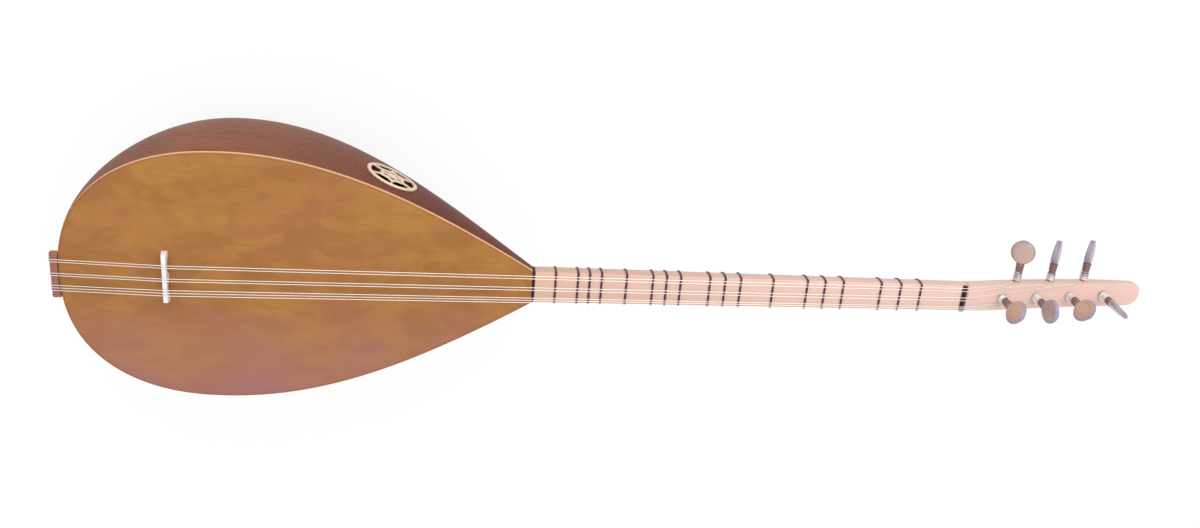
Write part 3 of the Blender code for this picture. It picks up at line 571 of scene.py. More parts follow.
@dataclass(frozen=True)
class Soundboard(Wood):
    """Amber spruce: straight growth lines, cloudy varnish, and a pinker tone towards the lower edge."""

    blush: Colour = (0.34, 0.142, 0.128)
    gold: Colour = (0.430, 0.200, 0.036)
    patches: Veil = Veil(27.0, (0.8, 1.2, 1.0), (0.46, 0.66), 0.6, twist=0.8)
    mottle: Veil = Veil(52.0, (0.6, 1.0, 1.0), (0.46, 0.66), 0.6, twist=0.6)
    dashes: Veil = Veil(420.0, (0.06, 1.0, 1.0), (0.57, 0.68), 0.35, detail=2.0)
    line_spacing: float = 0.0013
    line_share: float = 0.16
    wave_factor: float = 0.314
    blush_start: float = -0.015
    blush_end: float = -0.115
    blush_share: float = 0.95
    wander_scale: float = 14.0

    def growth_lines(self, board: NodeBoard, place: Socket) -> Socket:
        """The fine straight lines along the strings.

        A wave texture of scale 1 repeats every 0.314 m, so the scale is that over the lines' spacing.

        Args:
            board: Where the nodes go.
            place: Where the lines are read.

        Returns:
            Their number, 1 on a line.
        """
        values = {
            "Vector": board.stretched(place, (0.02, 1.0, 0.0)),
            "Scale": self.wave_factor / self.line_spacing,
            "Distortion": 6.0,
            "Detail": 2.0,
            "Detail Scale": 0.4,
        }
        return board.add("ShaderNodeTexWave", values, bands_direction="Y").outputs["Fac"]

    def colour(self, board: NodeBoard, place: Socket) -> tuple[Socket, Socket]:
        """The wood's colour with golden and brown patches, growth lines and the blush laid over it.

        Args:
            board: Where the nodes go.
            place: Where the patterns are read.

        Returns:
            The colour and the share of pore at each place.
        """
        colour, pores = super().colour(board, place)
        colour = board.veiled(place, colour, self.patches, self.gold)
        colour = board.veiled(place, colour, self.mottle, self.dark)
        colour = board.veiled(place, colour, self.dashes, self.dark)
        lines = board.spread(self.growth_lines(board, place), 0.55, 1.0, 0.0, self.line_share)
        colour = board.mix(lines, colour, self.dark)
        wander = board.spread(board.noise(place, self.wander_scale, 2.0), 0.3, 0.7, 0.6, 1.2)
        blush = board.spread(board.axis(place, "Y"), self.blush_start, self.blush_end, 0.0, self.blush_share)
        share = board.add("ShaderNodeMath", {0: blush, 1: wander}, operation="MULTIPLY").outputs[0]
        return board.mix(share, colour, self.blush), pores


@dataclass(frozen=True)
class EdgeWood(Wood):
    """The strip round the soundboard: pale on its side, varnished amber on top and stained brown at its foot."""

    top: Colour = (0.430, 0.170, 0.045)
    foot: Colour = (0.290, 0.105, 0.062)
    top_depth: float = 0.0004
    foot_depth: float = 0.0030
    blend: float = 0.0002

    def colour(self, board: NodeBoard, place: Socket) -> tuple[Socket, Socket]:
        """The wood's colour with the varnish and the stain laid over it by depth under the playing face.

        Args:
            board: Where the nodes go.
            place: Where the patterns are read.

        Returns:
            The colour and the share of pore at each place.
        """
        colour, pores = super().colour(board, place)
        height = board.axis(place, "Z")
        face = float(ORIGIN[2])
        varnish = board.spread(height, face - self.top_depth, face - self.top_depth + self.blend)
        stain = board.spread(height, face - self.foot_depth, face - self.foot_depth - self.blend)
        return board.mix(stain, board.mix(varnish, colour, self.top), self.foot), pores


@dataclass(frozen=True)
class NeckWood(Wood):
    """Pale maple, a little deeper in tone towards the bowl."""

    foot: Colour = (0.700, 0.440, 0.330)
    foot_x: float = 0.340
    clear_x: float = 0.640
    foot_share: float = 0.8

    def colour(self, board: NodeBoard, place: Socket) -> tuple[Socket, Socket]:
        """The wood's colour with the deeper tone mixed in along the neck.

        Args:
            board: Where the nodes go.
            place: Where the patterns are read.

        Returns:
            The colour and the share of pore at each place.
        """
        colour, pores = super().colour(board, place)
        start, end = float(ORIGIN[0]) + self.foot_x, float(ORIGIN[0]) + self.clear_x
        share = board.spread(board.axis(place, "X"), start, end, self.foot_share, 0.0)
        return board.mix(share, colour, self.foot), pores


@dataclass(frozen=True)
class BowlWood(Wood):
    """The bowl's wood, darker towards the neck and, less so, towards the tail."""

    deep: Colour = (0.130, 0.020, 0.008)
    neck_start: float = 0.095
    neck_end: float = 0.235
    neck_share: float = 0.95
    tail_start: float = 0.010
    tail_end: float = -0.040
    tail_share: float = 0.5

    def colour(self, board: NodeBoard, place: Socket) -> tuple[Socket, Socket]:
        """The wood's colour with the deeper tone mixed in towards both ends.

        Args:
            board: Where the nodes go.
            place: Where the patterns are read.

        Returns:
            The colour and the share of pore at each place.
        """
        colour, pores = super().colour(board, place)
        along = board.axis(place, "X")
        bridge = float(ORIGIN[0])
        ahead = board.spread(along, bridge + self.neck_start, bridge + self.neck_end, 0.0, self.neck_share)
        behind = board.spread(along, bridge + self.tail_start, bridge + self.tail_end, 0.0, self.tail_share)
        return board.mix(behind, board.mix(ahead, colour, self.deep), self.deep), pores


@dataclass(frozen=True)
class PegWood(Wood):
    """Polished peg wood: pale faces on the paddle and a painted lavender reflection round its rim, where attributes
    say so.
    """

    face: Colour = (0.5, 0.3, 0.2)
    # The rim colour is a painted reflection: the lavender sheen of the polished wood laid on as colour, darker in the
    # figure.
    rim: Colour = (0.4, 0.32, 0.4)
    face_shade: float = 0.78
    painted_sheen_dimming: float = 0.75
    figure_scale: float = 160.0
    figure_stretch: Triple = (1.0, 1.0, 0.2)

    def colour(self, board: NodeBoard, place: Socket) -> tuple[Socket, Socket]:
        """The wood's colour with the painted lavender reflection of the rim and the paler face mixed in.

        Args:
            board: Where the nodes go.
            place: Where the patterns are read.

        Returns:
            The colour and the share of pore at each place.
        """
        colour, pores = super().colour(board, place)
        figure = board.noise(board.stretched(place, self.figure_stretch), self.figure_scale, 4.0, 0.6)
        figure = board.spread(figure, 0.3, 0.75)
        pale = board.mix(figure, self.face, tuple(self.face_shade * part for part in self.face))
        # Painted reflection: the lavender sheen, figured like the wood.
        painted_sheen = board.mix(figure, self.rim, tuple(self.painted_sheen_dimming * part for part in self.rim))
        return board.mix(board.mark("face"), board.mix(board.mark("rim"), colour, painted_sheen), pale), pores


@dataclass(frozen=True)
class Smooth(Finish):
    """A dense even material such as bone or nylon: one colour with faint clouds and fine scratches."""

    colour: Colour = (0.8, 0.8, 0.8)
    shade: Colour = (0.7, 0.7, 0.7)
    scale: float = 120.0
    fineness: float = 14.0
    relief: float = 0.00001
    metal: float = 0.0

    def paint(self, board: NodeBoard) -> None:
        """Colour, roughness and relief of the material.

        Args:
            board: Where the nodes go.
        """
        place = board.place()
        clouds = board.noise(place, self.scale, 3.0)
        fine = board.noise(place, self.scale * self.fineness, 2.0)
        board.fill(
            board.shader,
            {
                "Base Color": board.mix(board.spread(clouds, 0.35, 0.65), self.colour, self.shade),
                "Roughness": board.spread(fine, 0.3, 0.7, self.roughness * 0.85, self.roughness * 1.15),
                "Metallic": self.metal,
                "Normal": board.bump(fine, self.relief),
            },
        )


BOWL_WOOD = BowlWood(
    name="carved_bowl_wood",
    roughness=0.5,
    specular=0.1,
    light=(0.292, 0.102, 0.045),
    dark=(0.176, 0.059, 0.029),
    cloud=(0.222, 0.072, 0.043),
    band_scale=70.0,
    cloud_scale=11.0,
    pore_scale=520.0,
    pore_share=0.35,
)
SOUNDBOARD_WOOD = Soundboard(
    name="amber_soundboard_spruce",
    roughness=0.42,
    specular=0.25,
    light=(0.418, 0.189, 0.039),
    dark=(0.290, 0.116, 0.026),
    cloud=(0.354, 0.132, 0.046),
    band_scale=60.0,
    band_share=0.35,
    cloud_scale=13.0,
    cloud_share=0.9,
    pore_share=0.12,
    pore_depth=0.00001,
)
BINDING_WOOD = EdgeWood(
    name="pale_binding_wood",
    specular=0.3,
    light=(0.86, 0.53, 0.28),
    dark=(0.70, 0.38, 0.17),
    cloud=(0.85, 0.50, 0.30),
    pore_share=0.1,
)
NECK_WOOD = NeckWood(
    name="pale_neck_wood",
    roughness=0.42,
    specular=0.35,
    light=(0.850, 0.590, 0.512),
    dark=(0.750, 0.475, 0.388),
    cloud=(0.820, 0.542, 0.472),
    band_scale=120.0,
    band_share=0.30,
    cloud_scale=16.0,
    cloud_share=0.6,
    pore_share=0.06,
    pore_depth=0.00001,
)
BRACE_WOOD = Wood(
    name="brace_spruce",
    roughness=0.7,
    light=(0.72, 0.54, 0.34),
    dark=(0.55, 0.36, 0.19),
    cloud=(0.70, 0.50, 0.30),
    grain=Grain.ACROSS,
)
ROSETTE_WOOD = Wood(
    name="cream_rosette_wood",
    roughness=0.45,
    light=(0.92, 0.72, 0.53),
    dark=(0.80, 0.57, 0.40),
    cloud=(0.91, 0.69, 0.55),
    grain=Grain.UPRIGHT,
    cloud_scale=60.0,
    pore_share=0.15,
)
DARK_WOOD = Wood(
    name="dark_strip_wood",
    roughness=0.45,
    specular=0.15,
    light=(0.032, 0.012, 0.020),
    dark=(0.014, 0.006, 0.009),
    cloud=(0.026, 0.010, 0.014),
    grain=Grain.ACROSS,
)
TAILPIECE_WOOD = Wood(
    name="red_tailpiece_wood",
    roughness=0.4,
    light=(0.345, 0.122, 0.088),
    dark=(0.180, 0.055, 0.040),
    cloud=(0.310, 0.112, 0.092),
    grain=Grain.ACROSS,
    cloud_scale=40.0,
)
PEG_WOOD = PegWood(
    name="turned_peg_wood",
    roughness=0.30,
    coat=0.3,
    coat_roughness=0.12,
    light=(0.220, 0.105, 0.095),
    dark=(0.110, 0.048, 0.045),
    cloud=(0.200, 0.095, 0.100),
    face=(0.610, 0.375, 0.275),
    # A painted lavender reflection, laid on the rim as colour.
    rim=(0.360, 0.290, 0.400),
    grain=Grain.UPRIGHT,
    attribute="own_place",
    band_scale=260.0,
    cloud_scale=70.0,
)
BONE = Smooth(name="white_bridge_bone", roughness=0.35, colour=(0.86, 0.83, 0.86), shade=(0.80, 0.77, 0.79))
NYLON = Smooth(name="tied_fret_nylon", roughness=0.36, colour=(0.105, 0.022, 0.045), shade=(0.070, 0.014, 0.030))
# The strings' pink tint is a painted reflection of the warm wood round them, laid on the pale steel.
STEEL = Smooth(name="string_steel", roughness=0.3, colour=(0.97, 0.87, 0.89), shade=(0.91, 0.80, 0.83), metal=0.6)


@dataclass(frozen=True)
class BowlForm:
    """The outer form of the bowl, which the soundboard, binding, rosette and tailpiece all follow."""

    joint_x: float = 0.320
    end_x: float = 0.3187
    belly_x: float = 0.050
    tail_x: float = -0.090
    half_width: float = 0.119
    depth: float = 0.200
    neck_half_width: float = 0.0151
    neck_depth: float = 0.0245
    neck_side_fullness: float = 0.976
    tail_side_fullness: float = 2.305
    keel_neck_fullness: float = 1.10
    keel_tail_fullness: float = 0.78
    section_fullness: float = 2.56
    bulge: float = 0.008
    rim_depth: float = 0.0043
    tail_edge_depth: float = 0.0062

    def shares(self, x: Array) -> tuple[Array, Array]:
        """Shares of the way from the belly to the neck and from the belly to the tail.

        Args:
            x: Places along the bowl.

        Returns:
            Both shares, from 0 to 1.
        """
        ahead = np.clip((x - self.belly_x) / (self.joint_x - self.belly_x), 0.0, 1.0)
        behind = np.clip((self.belly_x - x) / (self.belly_x - self.tail_x), 0.0, 1.0)
        return ahead, behind

    def half_width_at(self, x: Array) -> Array:
        """Half width: a power of a cosine towards the neck, a superellipse towards the tail.

        Args:
            x: Places along the bowl.

        Returns:
            The half width at each.
        """
        ahead, behind = self.shares(x)
        swell = np.maximum(np.cos(math.pi * ahead / 2), 0.0) ** self.neck_side_fullness
        neck_side = self.neck_half_width + (self.half_width - self.neck_half_width) * swell
        power = self.tail_side_fullness
        tail_side = self.half_width * (1.0 - behind**power) ** (1.0 / power)
        return np.where(x >= self.belly_x, neck_side, tail_side)

    def depth_at(self, x: Array) -> Array:
        """Depth of the keel: a power of a cosine towards the neck, a power of a parabola towards the tail.

        Args:
            x: Places along the bowl.

        Returns:
            The depth at each.
        """
        ahead, behind = self.shares(x)
        swell = np.maximum(np.cos(math.pi * ahead / 2), 0.0) ** self.keel_neck_fullness
        neck_side = self.neck_depth + (self.depth - self.neck_depth) * swell
        tail_side = np.maximum(self.depth * (1.0 - behind**2) ** self.keel_tail_fullness, self.tail_edge_depth)
        return np.where(x >= self.belly_x, neck_side, tail_side)

    def stations(self, tail_rows: int, neck_rows: int) -> Array:
        """Places of the sections, closer together towards the tail, where x runs with a cosine.

        Args:
            tail_rows: Sections from the tail to the belly.
            neck_rows: Sections from the belly to the neck.

        Returns:
            x of each section.
        """
        turn = np.linspace(0.0, math.pi / 2, tail_rows, endpoint=False)
        tail = self.tail_x + (self.belly_x - self.tail_x) * (1.0 - np.cos(turn))
        return np.concatenate([tail, np.linspace(self.belly_x, self.end_x, neck_rows)])

    def section(self, half_width: Array, depth: Array, steps: int) -> tuple[Array, Array]:
        """Sections from edge to edge round the keel, which start and end at the rim's depth.

        Args:
            half_width: Half width of each section.
            depth: Depth of each section.
            steps: Faces round a section.

        Returns:
            The y and the z of each point, a row for each section.
        """
        first = np.arcsin((self.rim_depth / depth) ** (self.section_fullness / 2))[:, None]
        turn = first + (math.pi - 2 * first) * np.linspace(0.0, 1.0, steps + 1)
        return superellipse(half_width[:, None], -depth[:, None], self.section_fullness, turn)

    def rings(self, x: Array, steps: int) -> Array:
        """Sections from edge to edge round the keel, their sides pushed towards the tail by the bulge.

        The bulge grows with the square of the share b of the way to the tail and falls off with the root of
        1 - b to the sixth. In a section it follows twice sine times cosine up to 45 degrees and stays full below.

        Args:
            x: Place of each section.
            steps: Faces round a section.

        Returns:
            Points, shaped (sections, steps + 1, 3).
        """
        depth = self.depth_at(x)
        y, z = self.section(self.half_width_at(x), depth, steps)
        rise = np.minimum(math.sqrt(0.5), (-z / depth[:, None]) ** (self.section_fullness / 2))
        behind = self.shares(x)[1]
        bulge = self.bulge * behind**2 * np.sqrt(np.maximum(0.0, 1.0 - behind**6))
        shifted = x[:, None] - bulge[:, None] * 2 * rise * np.sqrt(1.0 - rise**2)
        return coordinates(shifted, y, z)

    def outline(self, rows: Array, inset: float) -> Array:
        """The rim from the neck's +Y corner round the tail, drawn in along its mitres.

        Args:
            rows: x of the sections, from the tail to the neck.
            inset: How far it is drawn in.

        Returns:
            (x, y) of each point.
        """
        side = np.stack([rows[::-1], self.half_width_at(rows[::-1])], axis=-1)
        points = np.concatenate([side, side[-2::-1] * (1.0, -1.0)])
        steps = unit(np.stack([-np.diff(points[:, 1]), np.diff(points[:, 0])], axis=-1))
        came_in = np.concatenate([steps[:1], steps])
        inward = unit(came_in + np.concatenate([steps, steps[-1:]]))
        drawn = points + inward * (inset / (inward * came_in).sum(-1, keepdims=True))
        for end, beside in ((0, 1), (-1, -2)):
            share = (self.end_x - drawn[beside, 0]) / (drawn[end, 0] - drawn[beside, 0])
            drawn[end] = drawn[beside] + (drawn[end] - drawn[beside]) * share
        return drawn

    def outside(self, points: Array) -> Array:
        """Whether points lie outside the bowl's section, where the tail's bulge doesn't reach.

        Args:
            points: The points.

        Returns:
            True for each point outside.
        """
        across = np.abs(points[..., 1] / self.half_width_at(points[..., 0])) ** self.section_fullness
        down = np.abs(points[..., 2] / self.depth_at(points[..., 0])) ** self.section_fullness
        return across + down > 1.0


@dataclass
class Neck:
    """The neck with its tenon and nut slot, the dark band at its foot and the nut at its head end."""

    start_x: float = 0.3213
    end_x: float = 0.7255
    joint_x: float = 0.320
    nut_x: float = 0.720
    half_width_joint: float = 0.0151
    half_width_nut: float = 0.0130
    depth_joint: float = 0.0245
    depth_nut: float = 0.0210
    fullness: float = 2.7
    band_width: float = 0.002
    tenon_length: float = 0.028
    tenon_half_width: float = 0.0065
    tenon_top: float = 0.007
    tenon_height: float = 0.011
    nut_width: float = 0.004
    nut_height: float = 0.0012
    nut_slot: float = 0.0018
    rounding: float = 0.0007
    band_rounding: float = 0.0003
    nut_rounding: float = 0.0004
    rows: int = 24
    steps: int = 72

    def section(self, x: Array) -> tuple[Array, Array]:
        """Half width and depth, both straight tapers.

        Args:
            x: Places along the neck.

        Returns:
            The half width and the depth at each.
        """
        share = (np.asarray(x, float) - self.joint_x) / (self.nut_x - self.joint_x)
        half_width = self.half_width_joint + (self.half_width_nut - self.half_width_joint) * share
        return half_width, self.depth_joint + (self.depth_nut - self.depth_joint) * share

    def rings(self, x: Array) -> Array:
        """Sections of the neck, superellipses under a flat face.

        Args:
            x: Place of each section.

        Returns:
            Points, shaped (sections, steps + 1, 3).
        """
        half_width, depth = self.section(x)
        turn = np.linspace(0.0, math.pi, self.steps + 1)
        y, z = superellipse(half_width[:, None], -depth[:, None], self.fullness, turn)
        return coordinates(x[:, None], y, z)

    def tenon_box(self, grow: float) -> Shape:
        """The tenon, or with a clearance the hole for it.

        Args:
            grow: The clearance.

        Returns:
            The points and the faces.
        """
        half_width, bottom = self.tenon_half_width + grow, -self.tenon_top - self.tenon_height - grow
        low = (self.start_x - self.tenon_length - grow, -half_width, bottom)
        return box_skin(low, (self.start_x + self.tenon_length / 2, half_width, -self.tenon_top + grow))

    def build(self) -> None:
        """Builds and dresses the neck and the band."""
        neck = make_mesh("neck_fine", skin(self.rings(np.linspace(self.start_x, self.end_x, self.rows))))
        soften(neck, self.rounding)
        carve(neck, make_mesh("tenon_tool", self.tenon_box(0.0)), "UNION")
        low = (self.nut_x - SEAT, -0.05, -self.nut_slot)
        high = (self.nut_x + self.nut_width + SEAT, 0.05, self.nut_slot)
        carve(neck, make_mesh("nut_slot_tool", box_skin(low, high)))
        settle(neck)
        dress(neck, NECK_WOOD, "instrument", ["neck"])

        half = self.band_width / 2
        band = make_mesh("joint_band_fine", skin(self.rings(self.joint_x + np.array([-half, half]))))
        soften(band, self.band_rounding, 2)
        carve(band, make_mesh("band_tool", self.tenon_box(SEAT)))
        settle(band)
        dress(band, DARK_WOOD, "instrument", ["joint_band"])
        LOG.info("neck and joint band")

    def build_nut(self, strings: "Strings") -> None:
        """Builds and dresses the nut, notched under each string.

        Args:
            strings: The strings that lie on it.
        """
        half_width = float(self.section(self.nut_x + self.nut_width)[0])
        top = notched_edge(strings.nut_ys(), self.nut_height, -half_width, half_width)
        bottom = np.array([[half_width, -self.nut_slot + SEAT], [-half_width, -self.nut_slot + SEAT]])
        profile = np.concatenate([top, bottom])
        x = np.array([self.nut_x, self.nut_x + self.nut_width])
        nut = make_mesh("nut_fine", skin(coordinates(x[:, None], *profile.T)))
        soften(nut, self.nut_rounding)
        settle(nut)
        dress(nut, DARK_WOOD, "instrument", ["nut"])
        LOG.info("nut")


def box_skin(low: Sequence[float], high: Sequence[float]) -> Shape:
    """A box, as two rings of four points.

    Args:
        low: Its corner with the least x, y and z.
        high: Its corner with the greatest.

    Returns:
        The points and the faces.
    """
    y = np.array([low[1], high[1], high[1], low[1]])
    z = np.array([low[2], low[2], high[2], high[2]])
    return skin(coordinates(np.array([[low[0]], [high[0]]]), y, z))


def drill(radius: Array, z: Array, sides: int, matrix: Array) -> Shape:
    """A round tool along the Z axis of a frame.

    Args:
        radius: Radius at each end.
        z: Place of each end, as a column.
        sides: Faces round it.
        matrix: The frame.

    Returns:
        The points and the faces.
    """
    turn = circle(sides)
    return skin(moved(coordinates(radius * np.cos(turn), radius * np.sin(turn), z), matrix))


def notched_edge(places: Array, height: float, left: float, right: float) -> Array:
    """A top edge with a round notch under each string: z is the edge less d times (1 - s*s).

    s is the share of half the notch's width, and d the notch's depth.

    Args:
        places: y of each string.
        height: Height of a notch's bottom.
        left: y where the edge starts.
        right: y where it ends.

    Returns:
        (y, z) of the edge's points, from left to right.
    """
    share = np.linspace(-1.0, 1.0, 7)
    y = (np.sort(places)[:, None] + share * NOTCH_HALF_WIDTH).ravel()
    z = np.broadcast_to(height + NOTCH_DEPTH * share**2, (len(places), len(share))).ravel()
    ends = np.array([[left, height + NOTCH_DEPTH], [right, height + NOTCH_DEPTH]])
    return np.concatenate([ends[:1], np.stack([y, z], axis=-1), ends[1:]])


@dataclass
class Bowl:
    """The carved bowl with its rim, hollow, sound hole and socket, and the two plates that close it."""

    form: BowlForm
    wall: float = 0.006
    tail_wall: float = 0.010
    neck_block: float = 0.045
    rounding: float = 0.040
    end_share: float = 0.97
    hollow_fullness: float = 2.5
    board_thickness: float = 0.004
    board_rounding: float = 0.00025
    binding_width: float = 0.0010
    binding_corner: float = 0.0005
    tail_rows: int = 64
    neck_rows: int = 110
    outer_steps: int = 120
    inner_steps: int = 64

    def hollow_rings(self, count: int) -> Array:
        """Sections of the hollow: the bowl's less the wall, closing at both ends with a superellipse.

        Args:
            count: Number of sections.

        Returns:
            Points, shaped (sections, inner steps + 1, 3).
        """
        form = self.form
        margin = self.rounding * (1.0 - self.end_share)
        tail_end = form.tail_x + self.tail_wall
        neck_end = form.end_x - self.neck_block
        first, last = tail_end + margin, neck_end - margin
        x = (first + last) / 2 - (last - first) / 2 * np.cos(np.linspace(0.0, math.pi, count))
        tail_share = 1.0 - (x - tail_end) / self.rounding
        neck_share = 1.0 - (neck_end - x) / self.rounding
        share = np.clip(np.maximum(tail_share, neck_share), 0.0, 1.0)
        closing = (1.0 - share**self.hollow_fullness) ** (1.0 / self.hollow_fullness)
        half_width = (form.half_width_at(x) - self.wall) * closing
        depth = (form.depth_at(x) - self.wall) * closing
        y, z = form.section(half_width, depth, self.inner_steps)
        return coordinates(x[:, None], y, z)

    def build(self, neck: Neck, rosette: "Rosette") -> None:
        """Builds and dresses the bowl: an outer and an inner skin joined by the flat rim.

        Args:
            neck: The neck, whose tenon it takes.
            rosette: The rosette, whose hole it has.
        """
        rows = self.form.stations(self.tail_rows, self.neck_rows)
        outer = self.form.rings(rows, self.outer_steps)
        inner = self.hollow_rings(len(rows))
        out, into = outer.shape[1], inner.shape[1]
        start = len(rows) * out
        faces = grid_quads(len(rows), out)
        faces += [[corner + start for corner in quad] for quad in grid_quads(len(rows), into)]
        row = np.arange(len(rows) - 1)
        for a, b in ((0, 0), (out - 1, into - 1)):
            strip = [row * out + a, (row + 1) * out + a, start + (row + 1) * into + b, start + row * into + b]
            faces += np.stack(strip, axis=-1).tolist()
        last_out = (len(rows) - 1) * out
        last_in = start + (len(rows) - 1) * into
        faces.append([0, start, start + into - 1])
        faces.append([last_out, last_in, last_in + into - 1, last_out + out - 1])
        faces.append(list(range(last_out, last_out + out)))
        faces.append(list(range(start, start + into)))
        faces.append(list(range(last_in, last_in + into)))
        points = np.concatenate([outer.reshape(-1, 3), inner.reshape(-1, 3)])
        bowl = make_mesh("bowl_fine", (points, faces))
        carve(bowl, make_mesh("sound_hole_tool", rosette.hole_skin()))
        carve(bowl, make_mesh("socket_tool", neck.tenon_box(SEAT)))
        settle(bowl)
        dress(bowl, BOWL_WOOD, "instrument", ["bowl"])
        LOG.info("bowl")

    def build_plates(self) -> None:
        """Builds and dresses the soundboard and the binding round it."""
        rows = self.form.stations(self.tail_rows * 2, self.neck_rows * 2)
        outline = self.form.outline(rows, self.binding_width + SEAT)
        left = outline[: len(rows)]
        right = outline[: len(rows) - 2 : -1]
        share = np.linspace(0.0, 1.0, 25)[None, :, None]
        across = left[:, None] * (1.0 - share) + right[:, None] * share
        face = np.concatenate([across, np.zeros_like(across[..., :1])], axis=-1)
        back = face[:, ::-1] - (0.0, 0.0, self.board_thickness)
        board = make_mesh("soundboard_fine", skin(np.concatenate([face, back], axis=1)))
        soften(board, self.board_rounding, 2)
        settle(board)
        dress(board, SOUNDBOARD_WOOD, "instrument", ["soundboard"])

        outer = self.form.outline(rows, 0.0)
        inner = self.form.outline(rows, self.binding_width)
        turn = np.linspace(0.0, math.pi / 2, 5)[::-1]
        corner, width, foot = self.binding_corner, self.binding_width, -self.board_thickness
        inset = np.concatenate([corner * (1.0 - np.sin(turn)), [width, width, 0.0]])
        height = np.concatenate([corner * (np.cos(turn) - 1.0), [0.0, foot, foot]])
        share = (inset / self.binding_width)[None, :, None]
        place = outer[:, None] * (1.0 - share) + inner[:, None] * share
        rings = np.concatenate([place, np.broadcast_to(height[None, :, None], (*place.shape[:2], 1))], axis=-1)
        binding = make_mesh("edge_binding_fine", skin(rings))
        dress(binding, BINDING_WOOD, "instrument", ["edge_binding"])
        LOG.info("soundboard and binding")


@dataclass
class Rosette:
    """A pierced disc over the sound hole: two rings and a hub joined by spokes, laid on the bowl's side."""

    form: BowlForm
    x: float = 0.1919
    height: float = -0.042
    radius: float = 0.0240
    ring: float = 0.0034
    thickness: float = 0.0016
    seat_width: float = 0.0020
    cut_depth: float = 0.030
    points: int = 6
    middle_radius: float = 0.0104
    middle_width: float = 0.0030
    lobe: float = 0.0013
    hub_radius: float = 0.0036
    bars: float = 0.0013
    ring_crown: float = 0.0005
    middle_crown: float = 0.0007
    bar_fall: float = 0.0004
    hub_margin: float = 0.0006
    hub_rise: float = 0.0004
    hub_fall: float = 0.0010

    def side_y(self, x: float, z: float) -> float:
        """y of the bowl's side.

        Args:
            x: Place along the bowl.
            z: Height.

        Returns:
            y there.
        """
        power = self.form.section_fullness
        share = (-z / float(self.form.depth_at(np.array(x)))) ** power
        return float(self.form.half_width_at(np.array(x))) * (1.0 - share) ** (1.0 / power)

    def matrix(self) -> Array:
        """Frame of the sound hole: Z out of the bowl's side, X along it, its origin on the surface.

        Returns:
            The matrix.
        """
        x, z, step = self.x, self.height, SEAT
        along = np.array([2 * step, self.side_y(x + step, z) - self.side_y(x - step, z), 0.0])
        upward = np.array([0.0, self.side_y(x, z + step) - self.side_y(x, z - step), 2 * step])
        outward = unit(np.cross(upward, along))
        level = unit(np.array([1.0, 0.0, 0.0]) - outward * outward[0])
        return frame_matrix(level, np.cross(outward, level), outward, np.array([x, self.side_y(x, z), z]))

    def hole_skin(self) -> Shape:
        """The round tool that cuts the sound hole."""
        z = np.array([[-self.cut_depth], [self.cut_depth]])
        return drill(self.radius - self.seat_width, z, 96, self.matrix())

    def laid(self, plan: Array, lift: Array) -> Array:
        """Plan points laid on the bowl's side.

        The surface's height over the rosette's plane is found by halving, for all points at once.

        Args:
            plan: (x, y) of each point in the rosette's plane.
            lift: How far each point is lifted off the surface.

        Returns:
            The points, in the instrument's frame.
        """
        matrix = self.matrix()
        low = np.full(plan.shape[:-1], -self.radius)
        high = -low
        for _ in range(26):
            middle = (low + high) / 2
            outside = self.form.outside(moved(np.concatenate([plan, middle[..., None]], axis=-1), matrix))
            low, high = np.where(outside, low, middle), np.where(outside, middle, high)
        return moved(np.concatenate([plan, (low + lift)[..., None]], axis=-1), matrix)

    def moulding(self, inner: float, outer: float, crown: float, lobe: float = 0.0) -> Shape:
        """A ring with a crowned face: its height is the thickness plus crown times a half sine across it.

        Both edges wave in and out by lobe times the cosine of the angle times the number of points, less half
        a turn, so that a lobe stands at each outer spoke.

        Args:
            inner: Radius of its inner edge.
            outer: Radius of its outer edge.
            crown: Height of its middle over its edges.
            lobe: How far the edges wave.

        Returns:
            The points and the faces.
        """
        turn = circle(160)[:, None]
        share = np.linspace(0.0, 1.0, 11)
        wave = lobe * np.cos(self.points * turn)
        radius = np.concatenate([inner + (outer - inner) * share, [outer, inner]]) - wave
        lift = np.concatenate([SEAT + self.thickness + crown * (np.sin(math.pi * share) - 1.0), [SEAT, SEAT]])
        plan = np.stack([radius * np.cos(turn), radius * np.sin(turn)], axis=-1)
        return skin(self.laid(plan, lift), ring_rows=True)

    def build(self) -> None:
        """Builds and dresses the rings, the spokes and the hub as one piece."""
        inner_edge = self.radius - self.ring
        low, high = self.middle_radius - self.middle_width / 2, self.middle_radius + self.middle_width / 2
        parts = [self.moulding(inner_edge, self.radius, self.ring_crown)]
        parts.append(self.moulding(low, high, self.middle_crown, self.lobe))
        for index in range(self.points):
            angle = math.tau * (index + 0.5) / self.points
            between = angle + math.pi / self.points
            parts.append(self.spoke(angle, high, inner_edge + self.bars))
            parts.append(self.spoke(between, self.hub_radius, low))
        parts.append(self.hub())
        rosette = make_mesh("rosette_fine", joined(parts))
        dress(rosette, ROSETTE_WOOD, "instrument", ["rosette"])
        LOG.info("rosette")

    def spoke(self, angle: float, start: float, end: float) -> Shape:
        """A straight bar with a rounded top: across it z falls with 1 - sqrt(1 - 0.96 s*s).

        Args:
            angle: Its direction in the rosette's plan.
            start: Radius where it starts.
            end: Radius where it ends.

        Returns:
            The points and the faces.
        """
        ahead = np.array([math.cos(angle), math.sin(angle)])
        side = np.array([-ahead[1], ahead[0]])
        share = np.linspace(-1.0, 1.0, 7)
        across = np.concatenate([share, [1.0, -1.0]]) * self.bars / 2
        top = SEAT + self.thickness - self.bar_fall * (1.0 - np.sqrt(1.0 - 0.96 * share**2))
        lift = np.concatenate([top, [SEAT, SEAT]])
        along = np.linspace(start, end, 8)[:, None, None]
        plan = along * ahead + side * across[None, :, None]
        return skin(self.laid(plan, lift))

